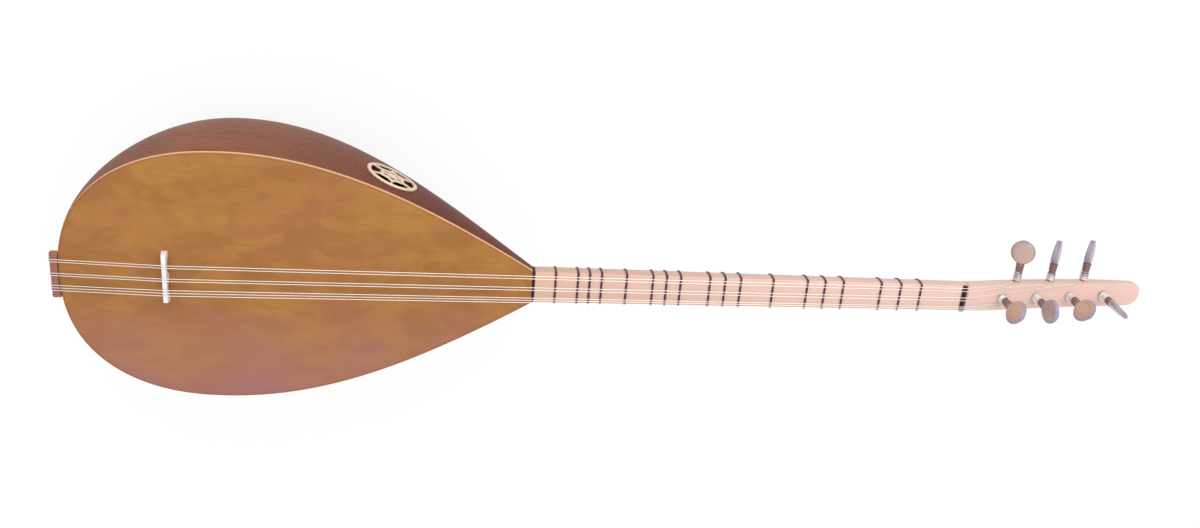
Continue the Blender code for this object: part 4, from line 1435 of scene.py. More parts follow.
    def hub(self) -> Shape:
        """A domed button: over the thickness z is rise less fall times the cube of the radius's share.

        Returns:
            The points and the faces.
        """
        radius = self.hub_radius + self.hub_margin
        turn = circle(64)[:, None]
        share = np.concatenate([[0.0], np.linspace(0.08, 1.0, 10), [1.0, 0.0]])
        lift = SEAT + self.thickness + self.hub_rise - self.hub_fall * share**3
        lift[-2:] = SEAT
        plan = np.stack([radius * share * np.cos(turn), radius * share * np.sin(turn)], axis=-1)
        return skin(self.laid(plan, lift), ring_rows=True)


class PegKind(Enum):
    """Where a peg stands: in the head's face or in its side."""

    FRONT = "front"
    SIDE = "side"


def for_pegs(front: tuple[float, ...], side: tuple[float, ...]) -> dict[PegKind, tuple[float, ...]]:
    """A dataclass field with a value for each peg of either kind."""
    return field(default_factory=lambda: {PegKind.FRONT: front, PegKind.SIDE: side})


@dataclass
class Head:
    """The bent-back head, which also knows where each peg enters it."""

    neck: Neck
    bend: float = math.radians(6.2)
    start_x: float = 0.7258
    length: float = 0.1795
    shoulder: float = 0.012
    half_width: float = 0.01375
    taper_end: float = 0.110
    half_width_end: float = 0.0122
    corner: float = 0.0108
    depth: float = 0.0180
    depth_end: float = 0.0160
    fullness: float = 3.2
    middle_fullness: float = 4.8
    end_fullness: float = 1.8
    trim: float = 0.0006
    first_peg: float = 0.0353
    peg_pitch: float = 0.0350
    side_peg_depth: float = 0.0095
    hole_clearance: float = 0.0003
    rise_end: float = 0.35
    fall_start: float = 0.55
    rounding: float = 0.0009

    @property
    def along(self) -> Array:
        """Direction along the head."""
        return np.array([math.cos(self.bend), 0.0, -math.sin(self.bend)])

    @property
    def normal(self) -> Array:
        """Direction out of the head's face."""
        return np.array([math.sin(self.bend), 0.0, math.cos(self.bend)])

    def half_width_at(self, along: Array) -> Array:
        """Half width: a smooth step over the shoulder, a straight taper, and a quarter circle at the end.

        Args:
            along: Places along the head.

        Returns:
            The half width at each.
        """
        start = float(self.neck.section(self.neck.end_x)[0])
        shoulder = start + (self.half_width - start) * ramp(along, 0.0, self.shoulder)
        share = np.clip((along - self.shoulder) / (self.taper_end - self.shoulder), 0.0, 1.0)
        tapered = self.half_width + (self.half_width_end - self.half_width) * share
        width = np.where(along < self.shoulder, shoulder, tapered)
        past = np.maximum(0.0, along - (self.length - self.corner))
        return width - (self.corner - np.sqrt(np.maximum(0.0, self.corner**2 - past**2)))

    def depth_at(self, along: Array) -> Array:
        """Thickness: straight tapers before and after the shoulder.

        Args:
            along: Places along the head.

        Returns:
            The thickness at each.
        """
        start = float(self.neck.section(self.neck.end_x)[1])
        share = (along - self.shoulder) / (self.length - self.shoulder)
        before = self.depth + (start - self.depth) * (1.0 - along / self.shoulder)
        return np.where(share < 0.0, before, self.depth + (self.depth_end - self.depth) * share)

    def side_at(self, along: float, below: float) -> float:
        """Half width of the CAD solid's section, where a side peg enters it.

        Args:
            along: Place along the head.
            below: Depth below the face.

        Returns:
            The half width there.
        """
        at = np.array(along)
        share = (below / float(self.depth_at(at))) ** self.fullness
        return float(self.half_width_at(at)) * (1.0 - share) ** (1.0 / self.fullness)

    def point(self, along: float, across: float, above: float) -> Array:
        """A place along, across and above the head's face."""
        return np.array([self.start_x, across, 0.0]) + self.along * along + self.normal * above

    def peg_matrix(self, kind: PegKind, number: int) -> Array:
        """Frame of a peg: its origin where it enters the wood, its Z outwards, its X along the head.

        Args:
            kind: Kind of the peg.
            number: Its number among its kind.

        Returns:
            The matrix.
        """
        if kind is PegKind.FRONT:
            outward = self.normal
            place = self.point(self.first_peg + self.peg_pitch * (number - 1), 0.0, 0.0)
        else:
            outward = np.array([0.0, 1.0, 0.0])
            along = self.first_peg + self.peg_pitch * (number - 0.5)
            place = self.point(along, self.side_at(along, self.side_peg_depth), -self.side_peg_depth)
        return frame_matrix(self.along, np.cross(outward, self.along), outward, place)

    def build(self, pegs: "Pegs") -> None:
        """Builds and dresses the head.

        Its sections turn to the bend over half the shoulder, grow squarer up to its middle and rounder towards
        its end.

        Args:
            pegs: The pegs, whose holes it has.
        """
        straight = np.linspace(0.0, self.shoulder, 13)
        body = np.linspace(self.shoulder, self.length - self.corner, 40)[1:]
        turn = np.linspace(0.0, math.pi / 2, 17)[1:]
        along = np.concatenate([straight, body, self.length - self.corner + self.corner * np.sin(turn)])
        steps = np.linspace(0.0, math.pi, 73)
        blend = ramp(along, 0.0, self.shoulder / 2)[:, None]
        share = (along / self.length)[:, None]
        rise = (self.middle_fullness - self.fullness) * ramp(share, 0.0, self.rise_end)
        fall = (self.middle_fullness - self.end_fullness) * ramp(share, self.fall_start, 1.0)
        square = self.fullness + rise - fall
        fullness = self.neck.fullness + (square - self.neck.fullness) * blend
        half_width = self.half_width_at(along)[:, None] - self.trim * (1.0 - share) * blend
        depth = self.depth_at(along)[:, None]
        y, z = superellipse(half_width, -depth, fullness, steps)
        tilt = self.bend * blend
        x = self.start_x + along[:, None] * math.cos(self.bend) + z * np.sin(tilt)
        height = -along[:, None] * math.sin(self.bend) + z * np.cos(tilt)
        head = make_mesh("headstock_fine", skin(coordinates(x, y, height)))
        soften(head, self.rounding)
        for kind, number in pegs.all():
            carve(head, make_mesh(f"{kind.value}_hole_tool_{number}", pegs.hole_skin(kind, number)))
        settle(head)
        dress(head, NECK_WOOD, "instrument", ["headstock"])
        LOG.info("head")


@dataclass
class Pegs:
    """Seven turned pegs: a tapered shank with beads and a waist ring, and a flat round paddle."""

    head: Head
    radius: float = 0.0031
    taper: float = 0.015
    neck_height: float = 0.0155
    waist_radius: float = 0.0040
    waist_height: float = 0.0028
    paddle_centre: float = 0.0300
    paddle_radius: float = 0.01125
    paddle_base: float = 0.0036
    paddle_tip: float = 0.0021
    paddle_fullness: float = 3.4
    end_margin: float = 0.002
    tip_length: float = 0.0012
    shank_gap: float = 0.0046
    beads_start: float = 0.0045
    beads_end: float = 0.0002
    bead_height: float = 0.00045
    face_rim: tuple[float, float] = (0.88, 0.95)
    face_flat: tuple[float, float] = (0.70, 0.85)
    figure_step: float = 0.1
    turns: dict[PegKind, tuple[float, ...]] = for_pegs((60.0, 82.0, 50.0, -42.0), (-35.0, 47.0, 46.0))
    # Share of the pale face on each peg; where it is low, the painted lavender reflection shows in its place, on pegs
    # turned to catch it.
    face_share_over_painted_sheen: dict[PegKind, tuple[float, ...]] = for_pegs((1.0, 0.6, 1.0, 0.4), (0.8, 0.2, 0.2))
    columns: int = 48
    paddle_rows: int = 34

    def all(self) -> list[tuple[PegKind, int]]:
        """Kind and number of every peg."""
        return [(kind, number + 1) for kind in PegKind for number in range(len(self.turns[kind]))]

    def radius_at(self, height: Array) -> Array:
        """Radius of the shank, which widens evenly outwards."""
        return self.radius + self.taper * height

    def shank_depth(self, kind: PegKind) -> float:
        """Length of the shank inside the head."""
        through = self.head.depth_end if kind is PegKind.FRONT else 2 * self.head.half_width_end
        return through - self.end_margin

    def hole_skin(self, kind: PegKind, number: int) -> Shape:
        """The tapered tool that cuts a peg's hole.

        Args:
            kind: Kind of the peg.
            number: Its number among its kind.

        Returns:
            The points and the faces.
        """
        through = self.head.depth if kind is PegKind.FRONT else 2 * self.head.half_width
        z = np.array([-through - self.head.half_width, self.head.half_width])[:, None]
        return drill(self.radius_at(z) + self.head.hole_clearance, z, 40, self.head.peg_matrix(kind, number))

    def rows(self, kind: PegKind) -> tuple[Array, Array, Array, Array]:
        """Height, half width, half thickness and fullness of each section of a peg.

        The shank is a cone with two beads, each adding a half sine to its radius. The paddle's half width is R
        times sin, its height the centre less R times cos, and its thickness falls evenly to the tip, blunted at
        both ends by (sin / 0.2) to the power 0.3.

        Args:
            kind: Kind of the peg.

        Returns:
            Height, half width, half thickness and fullness, each with a number for every section.
        """
        depth = self.shank_depth(kind)
        ends = np.array([0.0, 0.35, 0.75, 1.0])
        low = -depth + self.tip_length * ends
        low_radius = self.radius_at(low) * np.array([0.45, 0.80, 0.97, 1.0])
        shank = np.linspace(-depth + self.tip_length, self.neck_height - self.shank_gap, 14)[1:]
        beads = np.linspace(self.neck_height - self.beads_start, self.neck_height - self.beads_end, 25)
        swell = self.bead_height * np.abs(np.sin(2 * math.pi * (beads - beads[0]) / (beads[-1] - beads[0])))
        waist_turn = np.linspace(0.12, math.pi - 0.12, 13)
        waist = self.neck_height + self.waist_height * (1.0 - np.cos(waist_turn)) / 2
        waist_radius = self.waist_radius * (0.80 + 0.20 * np.sin(waist_turn))
        turn = np.linspace(math.radians(20), math.radians(178), self.paddle_rows)
        height = self.paddle_centre - self.paddle_radius * np.cos(turn)
        base = self.neck_height + self.waist_height
        share = np.clip((height - base) / (self.paddle_centre + self.paddle_radius - base), 0.0, 1.0)
        blunt = np.minimum(1.0, (np.sin(turn) / 0.2) ** 0.3)
        thick = (self.paddle_base + (self.paddle_tip - self.paddle_base) * share) * blunt
        wide = self.paddle_radius * np.sin(turn)
        z = np.concatenate([low, shank, beads, waist, height])
        turned = [low_radius, self.radius_at(shank), self.radius_at(beads) + swell, waist_radius]
        fullness = np.full(len(z), 2.0)
        fullness[-len(height) :] = self.paddle_fullness
        return z, np.concatenate([*turned, wide]), np.concatenate([*turned, thick]), fullness

    def build(self) -> None:
        """Builds and dresses every peg, marked with its own place, with where its face is and with where the painted
        reflection lies.
        """
        for kind, number in self.all():
            z, wide, deep, fullness = self.rows(kind)
            x, y = superellipse(wide[:, None], deep[:, None], fullness[:, None], circle(self.columns))
            local = coordinates(x, y, z[:, None])
            from_centre = np.hypot(x, local[..., 2] - self.paddle_centre) / self.paddle_radius
            flat = np.abs(y) / deep[:, None]
            face = (1.0 - ramp(from_centre, *self.face_rim)) * ramp(flat, *self.face_flat)
            face[: -self.paddle_rows] = 0.0
            # Less pale face, and so more painted reflection, on pegs turned to catch it.
            face = face * self.face_share_over_painted_sheen[kind][number - 1]
            # Where the painted lavender reflection lies: rising from the waist ring to full over the paddle.
            rim = ramp(local[..., 2], self.neck_height, self.paddle_centre - self.paddle_radius / 2)
            angle = math.radians(self.turns[kind][number - 1])
            spin = np.eye(4)
            spin[:2, :2] = [[math.cos(angle), -math.sin(angle)], [math.sin(angle), math.cos(angle)]]
            placed = moved(local, self.head.peg_matrix(kind, number) @ spin)
            marks = {
                "own_place": local.reshape(-1, 3) + (0.0, 0.0, self.figure_step * number),
                "face": face.ravel(),
                "rim": rim.ravel(),
            }
            name = f"peg_{kind.value}_{number}"
            peg = make_mesh(f"{name}_fine", skin(placed), marks)
            dress(peg, PEG_WOOD, f"peg_body_{kind.value}_{number}", [name])
            LOG.info("%s", name)


@dataclass
class Strings:
    """Seven steel strings in three courses, from the tailpiece over bridge and nut to the pegs' windings."""

    neck: Neck
    head: Head
    pegs: Pegs
    radius: float = 0.0003
    courses: tuple[int, ...] = (2, 2, 3)
    bridge_gaps: dict[int, float] = field(default_factory=lambda: {2: 0.0024, 3: 0.0027})
    tail_gaps: dict[int, float] = field(default_factory=lambda: {2: 0.0022, 3: 0.00245})
    nut_gaps: dict[int, float] = field(default_factory=lambda: {2: 0.0030, 3: 0.0018})
    bridge_centre: float = 0.0025
    bridge_spacing: float = 0.0127
    tail_centre: float = 0.0016
    tail_spacing: float = 0.0131
    nut_spacing: float = 0.0098
    bridge_height: float = 0.0090
    tailpiece_x: float = -0.0968
    tailpiece_depth: float = 0.005
    tailpiece_rise: float = 0.0012
    tailpiece_corner: float = 0.0015
    hook: float = 0.0020
    winding_start: float = 0.0013
    winding_pitch: float = 0.00095
    winding_turns: dict[PegKind, tuple[int, ...]] = for_pegs((5, 7, 5, 7), (5, 5, 5))
    winding_reach: dict[PegKind, tuple[float, ...]] = for_pegs(
        (0.0052, 0.0095, 0.0085, 0.0095), (0.0090, 0.0068, 0.0088)
    )
    winding_bend: dict[PegKind, tuple[float, ...]] = for_pegs((4.0, 1.2, 2.2, 1.3), (2.0, 6.0, 6.0))
    winding_dive: float = 0.0009
    extra_turns: int = 4
    even_pitch: float = 2.1
    bend_radius: float = 0.0008

    @property
    def reach(self) -> float:
        """Distance from a seat to a string's centre line."""
        return SEAT + self.radius

    def across(self, centre: float, spacing: float, gaps: dict[int, float]) -> Array:
        """Places of the strings, course by course from +Y to -Y.

        Args:
            centre: y of the middle course's middle.
            spacing: Distance between the courses' middles.
            gaps: Distance between the strings of a course, by how many it has.

        Returns:
            y of every string.
        """
        places = []
        for course, count in enumerate(self.courses):
            middle = centre + spacing * ((len(self.courses) - 1) / 2 - course)
            places.append(middle + gaps[count] * ((count - 1) / 2 - np.arange(count)))
        return np.concatenate(places)

    def bridge_ys(self) -> Array:
        """y of every string at the bridge."""
        return self.across(self.bridge_centre, self.bridge_spacing, self.bridge_gaps)

    def nut_ys(self) -> Array:
        """y of every string at the nut."""
        return self.across(0.0, self.nut_spacing, self.nut_gaps)

    def tail_ys(self) -> Array:
        """y of every string at the tailpiece."""
        return self.across(self.tail_centre, self.tail_spacing, self.tail_gaps)

    def targets(self) -> list[tuple[PegKind, int]]:
        """Kind and number of the peg of each string, the side pegs first."""
        return sorted(self.pegs.all(), key=lambda peg: peg[0] is PegKind.FRONT)

    def turns_on(self, kind: PegKind, number: int) -> int:
        """Turns of the winding on a peg."""
        return self.winding_turns[kind][number - 1] + self.extra_turns

    def coil_radius(self, turns: int) -> float:
        """Radius of a winding's centre line, clear of the shank under its last turn."""
        return float(self.pegs.radius_at(self.winding_start + turns * self.winding_pitch)) + self.reach

    def route(self, index: int) -> tuple[Array, float]:
        """A string's way from its hook under the tailpiece to its winding.

        Args:
            index: The string's place in the courses, from 0.

        Returns:
            Corner points of its centre line, and the angle about the peg at which it meets its winding.
        """
        kind, number = self.targets()[index]
        tail_y, bridge_y, nut_y = self.tail_ys()[index], self.bridge_ys()[index], self.nut_ys()[index]
        behind = self.tailpiece_x - self.reach
        under = -self.tailpiece_depth - self.reach
        over = self.tailpiece_rise + self.reach
        nut_top = self.neck.nut_height + self.reach
        points = [
            (self.tailpiece_x + self.hook, tail_y, under),
            (behind, tail_y, under),
            (behind, tail_y, self.tailpiece_rise - self.tailpiece_corner),
            (self.tailpiece_x + self.tailpiece_corner * 0.2, tail_y, over - self.tailpiece_corner * 0.2),
            (self.tailpiece_x + self.tailpiece_corner, tail_y, over),
            (0.0, bridge_y, self.bridge_height + self.reach),
            (self.neck.nut_x, nut_y, nut_top),
            (self.neck.nut_x + self.neck.nut_width, nut_y, nut_top),
        ]
        if kind is PegKind.SIDE:
            along = self.head.first_peg + self.head.peg_pitch * (number - 0.5) - self.head.side_peg_depth * 1.5
            edge = float(self.head.half_width_at(np.array(along))) + self.reach
            points.append(tuple(self.head.point(along, edge, self.reach)))
        matrix = self.head.peg_matrix(kind, number)
        local = (np.array(points[-1]) - matrix[:3, 3]) @ matrix[:3, :3]
        radius = self.coil_radius(self.turns_on(kind, number))
        angle = math.atan2(local[1], local[0]) + math.acos(radius / math.hypot(local[0], local[1]))
        touch = np.array([radius * math.cos(angle), radius * math.sin(angle), self.winding_start])
        points.append(tuple(moved(touch, matrix)))
        return np.array(points), angle

    def build(self) -> None:
        """Builds and dresses each string and its winding."""
        for index, (kind, number) in enumerate(self.targets()):
            corners, angle = self.route(index)
            line = rounded_line(corners, self.bend_radius)
            string = make_mesh(f"string_{index + 1}_fine", tube(line, self.radius, 10, (0.0, 1.0, 0.0)))
            dress(string, STEEL, "instrument", [f"string_{index + 1}"])

            coil = self.coil(kind, number, angle)
            matrix = self.head.peg_matrix(kind, number)
            points, faces = tube(coil, self.radius, 8, (0.0, 0.0, 1.0))
            winding = make_mesh(f"winding_{index + 1}_fine", (moved(points, matrix), faces))
            body = f"peg_body_{kind.value}_{number}"
            dress(winding, STEEL, body, [f"winding_{index + 1}"])
        LOG.info("strings and windings")

    def coil(self, kind: PegKind, number: int, angle: float) -> Array:
        """Centre line of a winding: turns that touch near the wood, then spread, then dive into the peg.

        The height adds an even climb, of just over a wire's width each turn, to t raised to the winding's bend,
        t being the share of the turns.

        Args:
            kind: Kind of the peg.
            number: Its number among its kind.
            angle: Angle about the peg at which the winding starts.

        Returns:
            Points of the line, in the peg's frame.
        """
        turns = self.turns_on(kind, number)
        bend = self.winding_bend[kind][number - 1]
        t = np.linspace(0.0, 1.0, turns * 40 + 1)
        even = self.even_pitch * self.radius * turns
        spare = max(self.winding_reach[kind][number - 1] - even, 0.0)
        height = self.winding_start + even * t + spare * t**bend
        radius = self.coil_radius(turns) - self.winding_dive * ramp(t, 1.0 - 0.5 / turns, 1.0)
        turn = angle + math.tau * turns * t
        return coordinates(radius * np.cos(turn), radius * np.sin(turn), height)


def rounded_line(corners: Array, radius: float, steps: int = 5) -> Array:
    """A line through corner points, each inner corner replaced by a short parabola.

    A corner P with neighbours A and B becomes (1-t)^2 A' + 2t(1-t) P + t^2 B', A' and B' lying on the legs at
    the radius or at 40 % of the leg.

    Args:
        corners: Corner points.
        radius: Distance from a corner to where its curve starts.
        steps: Steps along a curve.

    Returns:
        Points of the line.
    """
    before = corners[:-2] - corners[1:-1]
    after = corners[2:] - corners[1:-1]
    inner = corners[1:-1, None]
    near = np.linalg.norm(before, axis=-1, keepdims=True)
    far = np.linalg.norm(after, axis=-1, keepdims=True)
    start = (corners[1:-1] + before / near * np.minimum(radius, 0.4 * near))[:, None]
    end = (corners[1:-1] + after / far * np.minimum(radius, 0.4 * far))[:, None]
    t = np.linspace(0.0, 1.0, steps + 1)[None, :, None]
    curves = (1.0 - t) ** 2 * start + 2 * t * (1.0 - t) * inner + t**2 * end
    return np.concatenate([corners[:1], curves.reshape(-1, 3), corners[-1:]])


def tube(line: Array, radius: float, sides: int, reference: Triple) -> Shape:
    """A round wire along a line, its sections square to the line and levelled by a reference direction.

    Args:
        line: Points of the centre line.
        radius: Radius of the wire.
        sides: Faces round it.
        reference: A direction that the line never runs along.

    Returns:
        The points and the faces.
    """
    ahead = unit(np.gradient(line, axis=0))
    side = unit(np.cross(ahead, np.array(reference)))
    over = np.cross(side, ahead)
    turn = circle(sides)[None, :, None]
    rings = line[:, None] + radius * (np.cos(turn) * side[:, None] + np.sin(turn) * over[:, None])
    return skin(rings)


@dataclass
class Frets:
    """Eighteen tied frets, each three turns of nylon side by side with a knot at the back edge."""

    neck: Neck
    string_length: float = 0.720
    cents: tuple[int, ...] = (
        *(100, 150, 200, 300, 350, 400, 500, 600, 650),
        *(700, 800, 850, 900, 1000, 1100, 1150, 1200, 1300),
    )
    turns: int = 3
    nylon: float = 0.00066
    sides: int = 12
    knot_size: Triple = (0.0017, 0.0009, 0.0011)
    knot_angle: float = math.pi * 0.93
    knot_lobes: float = 0.18

    def loop(self, x: float) -> tuple[Array, Array]:
        """The nylon's way round the neck.

        Round the back it is the neck's superellipse moved out along its normal, over each edge a quarter circle,
        and over the face a straight line.

        Args:
            x: Place of the fret.

        Returns:
            The centre line and the outward direction along it, as (y, z) pairs.
        """
        half_width, depth = (float(size) for size in self.neck.section(np.array(x)))
        turn = np.linspace(0.0, math.pi, 61)
        y, z = superellipse(half_width, -depth, self.neck.fullness, turn)
        power = self.neck.fullness
        slopes = [signed_power(y / half_width, power - 1) / half_width, signed_power(z / depth, power - 1) / depth]
        normal = unit(np.stack(slopes, axis=-1))
        back = np.stack([y, z], axis=-1)
        bend = np.linspace(0.0, math.pi / 2, 7)[1:]
        left = np.stack([-np.cos(bend), np.sin(bend)], axis=-1)
        right = np.stack([np.sin(bend), np.cos(bend)], axis=-1)[:-1]
        corner = np.array([half_width, 0.0])
        middle = np.linspace(-half_width, half_width, 9)[1:-1]
        face = np.stack([middle, np.zeros_like(middle)], axis=-1)
        upward = np.broadcast_to([0.0, 1.0], face.shape)
        right = np.concatenate([[[0.0, 1.0]], right])
        low_edge, high_edge = np.broadcast_to(-corner, left.shape), np.broadcast_to(corner, right.shape)
        seats = np.concatenate([back, low_edge, face, high_edge])
        outward = np.concatenate([normal, left, upward, right])
        return seats + outward * (SEAT + self.nylon / 2), outward

    def build(self) -> None:
        """Builds and dresses each fret."""
        sections = circle(self.sides)
        for number, cents in enumerate(self.cents, start=1):
            x = self.string_length * 2 ** (-cents / 1200)
            line, outward = self.loop(x)
            parts = []
            for turn in range(self.turns):
                middle = x + self.nylon * (turn - (self.turns - 1) / 2)
                lift = self.nylon / 2 * np.cos(sections)
                along = np.broadcast_to(middle + self.nylon / 2 * np.sin(sections), (len(line), self.sides))
                place = line[:, None] + outward[:, None] * lift[None, :, None]
                parts.append(skin(np.concatenate([along[..., None], place], axis=-1), ring_rows=True))
            parts.append(self.knot(x))
            fret = make_mesh(f"fret_{number:02d}_fine", joined(parts))
            dress(fret, NYLON, f"fret_body_{number:02d}", [f"fret_{number:02d}"])
        LOG.info("frets")

    def knot(self, x: float) -> Shape:
        """The knot on the lower side: a small lump, its radius 1 + lobes times sin 3a times cos b its size.

        Args:
            x: Place of the fret.

        Returns:
            The points and the faces.
        """
        half_width, depth = (float(size) for size in self.neck.section(np.array(x)))
        y, z = superellipse(half_width, -depth, self.neck.fullness, np.array(self.knot_angle))
        turn = circle(20)
        rise = np.linspace(-math.pi / 2, math.pi / 2, 11)[:, None]
        size = 1.0 + self.knot_lobes * np.sin(3 * turn) * np.cos(rise)
        length, height, depth = self.knot_size
        lump = coordinates(
            length * size * np.cos(rise) * np.cos(turn),
            height * size * np.sin(rise),
            depth * size * np.cos(rise) * np.sin(turn),
        )
        return skin(lump + np.array([x, float(y) - self.nylon * 0.75 - SEAT, float(z)]))


@dataclass
class Bridge:
    """The white bridge: three feet, two arches and a notched top, thinner upwards."""

    strings: Strings
    half_length: float = 0.024
    base: float = 0.0028
    top: float = 0.0019
    foot: float = 0.0055
    arch_height: float = 0.0042
    shoulder: float = 0.0014
    arch_power: float = 0.8
    rounding: float = 0.00025

    def build(self) -> None:
        """Builds and dresses the bridge, its profile carried across with its half width falling with height."""
        centre, height = self.strings.bridge_centre, self.strings.bridge_height
        left, right = centre - self.half_length, centre + self.half_length
        ends = left + self.shoulder, right - self.shoulder
        top = notched_edge(self.strings.bridge_ys(), height - NOTCH_DEPTH, *ends)
        arch = (2 * self.half_length - 3 * self.foot) / 2
        turn = np.linspace(0.0, math.pi, 19)
        under = []
        for index in range(2):
            middle = right - self.foot - index * (arch + self.foot) - arch / 2
            y = middle + arch / 2 * np.cos(turn)
            under.append(np.stack([y, SEAT + self.arch_height * np.sin(turn) ** self.arch_power], axis=-1))
        first = np.array([[right, self.arch_height], [right, SEAT]])
        last = np.array([[left, SEAT], [left, self.arch_height]])
        profile = np.concatenate([top, first, *under, last])
        half = self.base + (self.top - self.base) * (profile[:, 1] - SEAT) / (height - SEAT)
        bridge = make_mesh("bridge_fine", skin(coordinates(np.array([[-1.0], [1.0]]) * half, *profile.T)))
        soften(bridge, self.rounding)
        settle(bridge)
        dress(bridge, BONE, "bridge_body", ["bridge"])
        LOG.info("bridge")


@dataclass
class Tailpiece:
    """The red-brown block at the tail that the strings bend over, carved to the bowl."""

    form: BowlForm
    strings: Strings
    half_width: float = 0.0213
    clearance: float = 0.0005
    lap: float = 0.003
    rounding: float = 0.0006
    tool_height: float = 0.014

    def build(self) -> None:
        """Builds and dresses the block: a rounded profile across the tail, cut by the bowl's own sections."""
        strings = self.strings
        inner_x = self.form.tail_x + self.lap
        turn = np.linspace(0.0, math.pi / 2, 9)
        corner = strings.tailpiece_corner
        top_x = strings.tailpiece_x + corner * (1.0 - np.sin(turn))
        top_z = strings.tailpiece_rise - corner * (1.0 - np.cos(turn))
        x = np.concatenate([[inner_x, inner_x], top_x, [strings.tailpiece_x]])
        z = np.concatenate([[-strings.tailpiece_depth, strings.tailpiece_rise], top_z, [-strings.tailpiece_depth]])
        y = np.array([[-self.half_width], [self.half_width]])
        piece = make_mesh("tailpiece_fine", skin(coordinates(x, y, z)))
        soften(piece, self.rounding)
        rows = self.form.stations(64, 2)[:-2]
        edge = self.form.half_width_at(rows)[:, None]
        heights = np.array([self.tool_height, -self.form.rim_depth])
        before = coordinates(rows[:, None], edge, heights)
        after = coordinates(rows[:, None], -edge, heights[::-1])
        tool = np.concatenate([before, self.form.rings(rows, 96), after], axis=1) - (self.clearance, 0.0, 0.0)
        carve(piece, make_mesh("tail_tool", skin(tool)))
        settle(piece)
        dress(piece, TAILPIECE_WOOD, "instrument", ["tailpiece"])
        LOG.info("tailpiece")


@dataclass
class Braces:
    """The two bars under the soundboard, whose CAD solids stay and get a fuller material."""

    names: tuple[str, ...] = ("brace_bridge", "brace_upper")

    def build(self) -> None:
        """Dresses the CAD solids."""
        for name in self.names:
            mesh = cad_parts[name].data
            mesh.materials.clear()
            mesh.materials.append(BRACE_WOOD.material())
        LOG.info("braces")


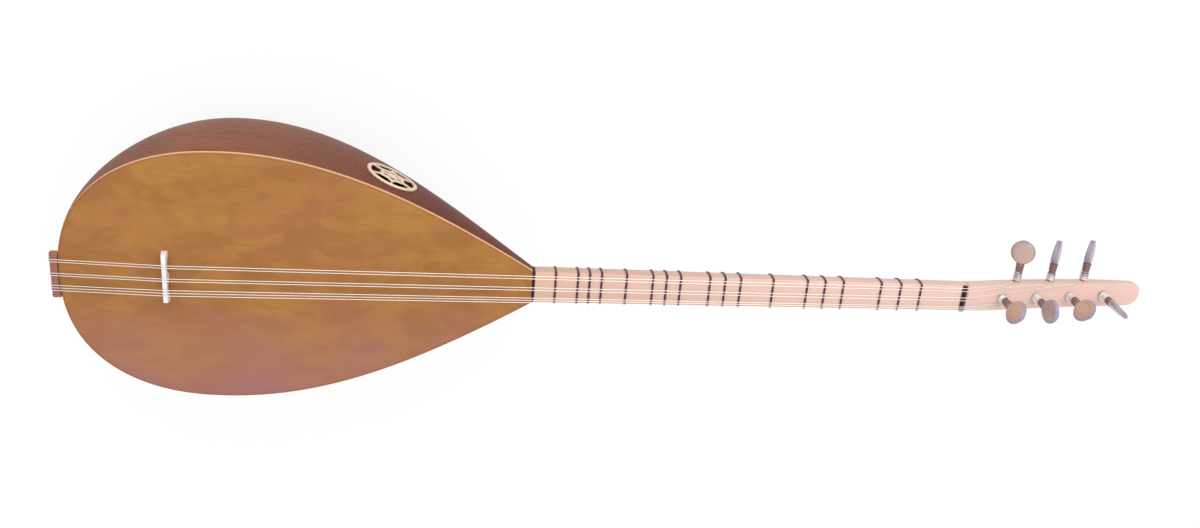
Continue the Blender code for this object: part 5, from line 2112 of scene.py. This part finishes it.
@dataclass
class Studio:
    """A pale floor and surroundings, soft lamps, and the camera of the photograph."""

    floor_half: float = 6.0
    lens: float = 42.0
    sensor: float = 36.0
    camera_place: Triple = (0.22541, 0.57301, 1.11723)
    camera_right: Triple = (0.992121, 0.078997, 0.097235)
    camera_down: Triple = (0.027914, -0.896016, 0.443142)
    camera_ahead: Triple = (0.122131, -0.436937, -0.891162)
    world_light: float = 0.62
    floor_colour: float = 0.22
    lamp_power: float = 27.0
    lamp_size: float = 2.4
    lamp_aim: Triple = (0.0, 0.0, 0.2)

    def build_camera(self) -> None:
        """Makes the camera from its place and its right, down and forward directions."""
        lens = bpy.data.cameras.new("camera")
        lens.lens = self.lens
        lens.sensor_width = self.sensor
        lens.sensor_fit = "HORIZONTAL"
        lens.clip_start = 0.01
        camera = linked("camera", lens)
        up, back = -np.array(self.camera_down), -np.array(self.camera_ahead)
        place = to_world(np.array(self.camera_place))
        camera.matrix_world = Matrix(frame_matrix(self.camera_right, up, back, place).tolist())
        bpy.context.scene.camera = camera

    def build_surroundings(self) -> None:
        """Makes the floor and the world, both white to the camera and to reflections."""
        half = self.floor_half
        mesh = bpy.data.meshes.new("floor")
        corners = [(-half, -half, 0), (half, -half, 0), (half, half, 0), (-half, half, 0)]
        mesh.from_pydata(corners, [], [(0, 1, 2, 3)])
        floor = linked("floor", mesh)
        board = NodeBoard("studio_floor")
        level = self.floor_colour
        speckle = board.noise(board.place(), 3.0)
        shade = board.mix(speckle, (level, level, level), (level * 0.98, level * 0.98, level * 0.98))
        board.fill(
            board.shader,
            {"Base Color": shade, "Roughness": 0.9, "Specular IOR Level": 0.0, "Emission Color": (1.0, 1.0, 1.0, 1.0)},
        )
        seen = self.seen_share(board.tree)
        board.fill(board.shader, {"Emission Strength": board.spread(seen, 0.0, 1.0, 0.0, 1.02 - level)})
        mesh.materials.append(board.material)

        world = bpy.data.worlds.new("studio")
        world.use_nodes = True
        tree = world.node_tree
        background = tree.nodes["Background"]
        background.inputs["Color"].default_value = (1.0, 1.0, 1.0, 1.0)
        spread = tree.nodes.new("ShaderNodeMapRange")
        spread.inputs["To Min"].default_value = self.world_light
        spread.inputs["To Max"].default_value = 1.0
        tree.links.new(self.seen_share(tree), spread.inputs["Value"])
        tree.links.new(spread.outputs["Result"], background.inputs["Strength"])
        bpy.context.scene.world = world

    def seen_share(self, tree: bpy.types.NodeTree) -> Socket:
        """1 for a ray from the camera, from a gloss or through glass, otherwise 0.

        Args:
            tree: The node tree that needs it.

        Returns:
            The number's socket.
        """
        path = tree.nodes.new("ShaderNodeLightPath")
        largest = path.outputs["Is Camera Ray"]
        for name in ("Is Glossy Ray", "Is Transmission Ray"):
            larger = tree.nodes.new("ShaderNodeMath")
            larger.operation = "MAXIMUM"
            tree.links.new(largest, larger.inputs[0])
            tree.links.new(path.outputs[name], larger.inputs[1])
            largest = larger.outputs[0]
        return largest

    def build_lamps(self) -> None:
        """Hangs four broad lamps round the instrument, each facing a point a little above the floor."""
        lamps = (
            ("key", (0.4, 0.9, 2.2), 0.75),
            ("fill", (-0.2, -1.2, 1.9), 0.22),
            ("front", (0.4, 2.1, 0.9), 0.84),
            ("side", (-1.3, 1.0, 1.0), 0.34),
        )
        for name, place, share in lamps:
            light = bpy.data.lights.new(name, "AREA")
            light.shape = "SQUARE"
            light.size = self.lamp_size
            light.energy = self.lamp_power * share
            away = unit(np.array(place) - self.lamp_aim)
            side = unit(np.cross((0.0, 1.0, 0.0), away))
            lamp = linked(name, light)
            lamp.matrix_world = Matrix(frame_matrix(side, np.cross(away, side), away, place).tolist())

    def build(self) -> None:
        """Builds the camera, the surroundings and the lamps."""
        bpy.context.scene.view_settings.view_transform = "Standard"
        self.build_camera()
        self.build_surroundings()
        self.build_lamps()
        LOG.info("studio")


def main() -> None:
    """Builds the studio and every piece of the instrument, in order."""
    logging.basicConfig(level=logging.INFO, format="%(name)s: %(message)s")
    form = BowlForm()
    neck = Neck()
    head = Head(neck)
    pegs = Pegs(head)
    strings = Strings(neck, head, pegs)
    rosette = Rosette(form)
    bowl = Bowl(form)
    Studio().build()
    bowl.build(neck, rosette)
    bowl.build_plates()
    Braces().build()
    rosette.build()
    neck.build()
    neck.build_nut(strings)
    head.build(pegs)
    pegs.build()
    Bridge(strings).build()
    Tailpiece(form, strings).build()
    Frets(neck).build()
    strings.build()


if __name__ == "__main__":
    main()
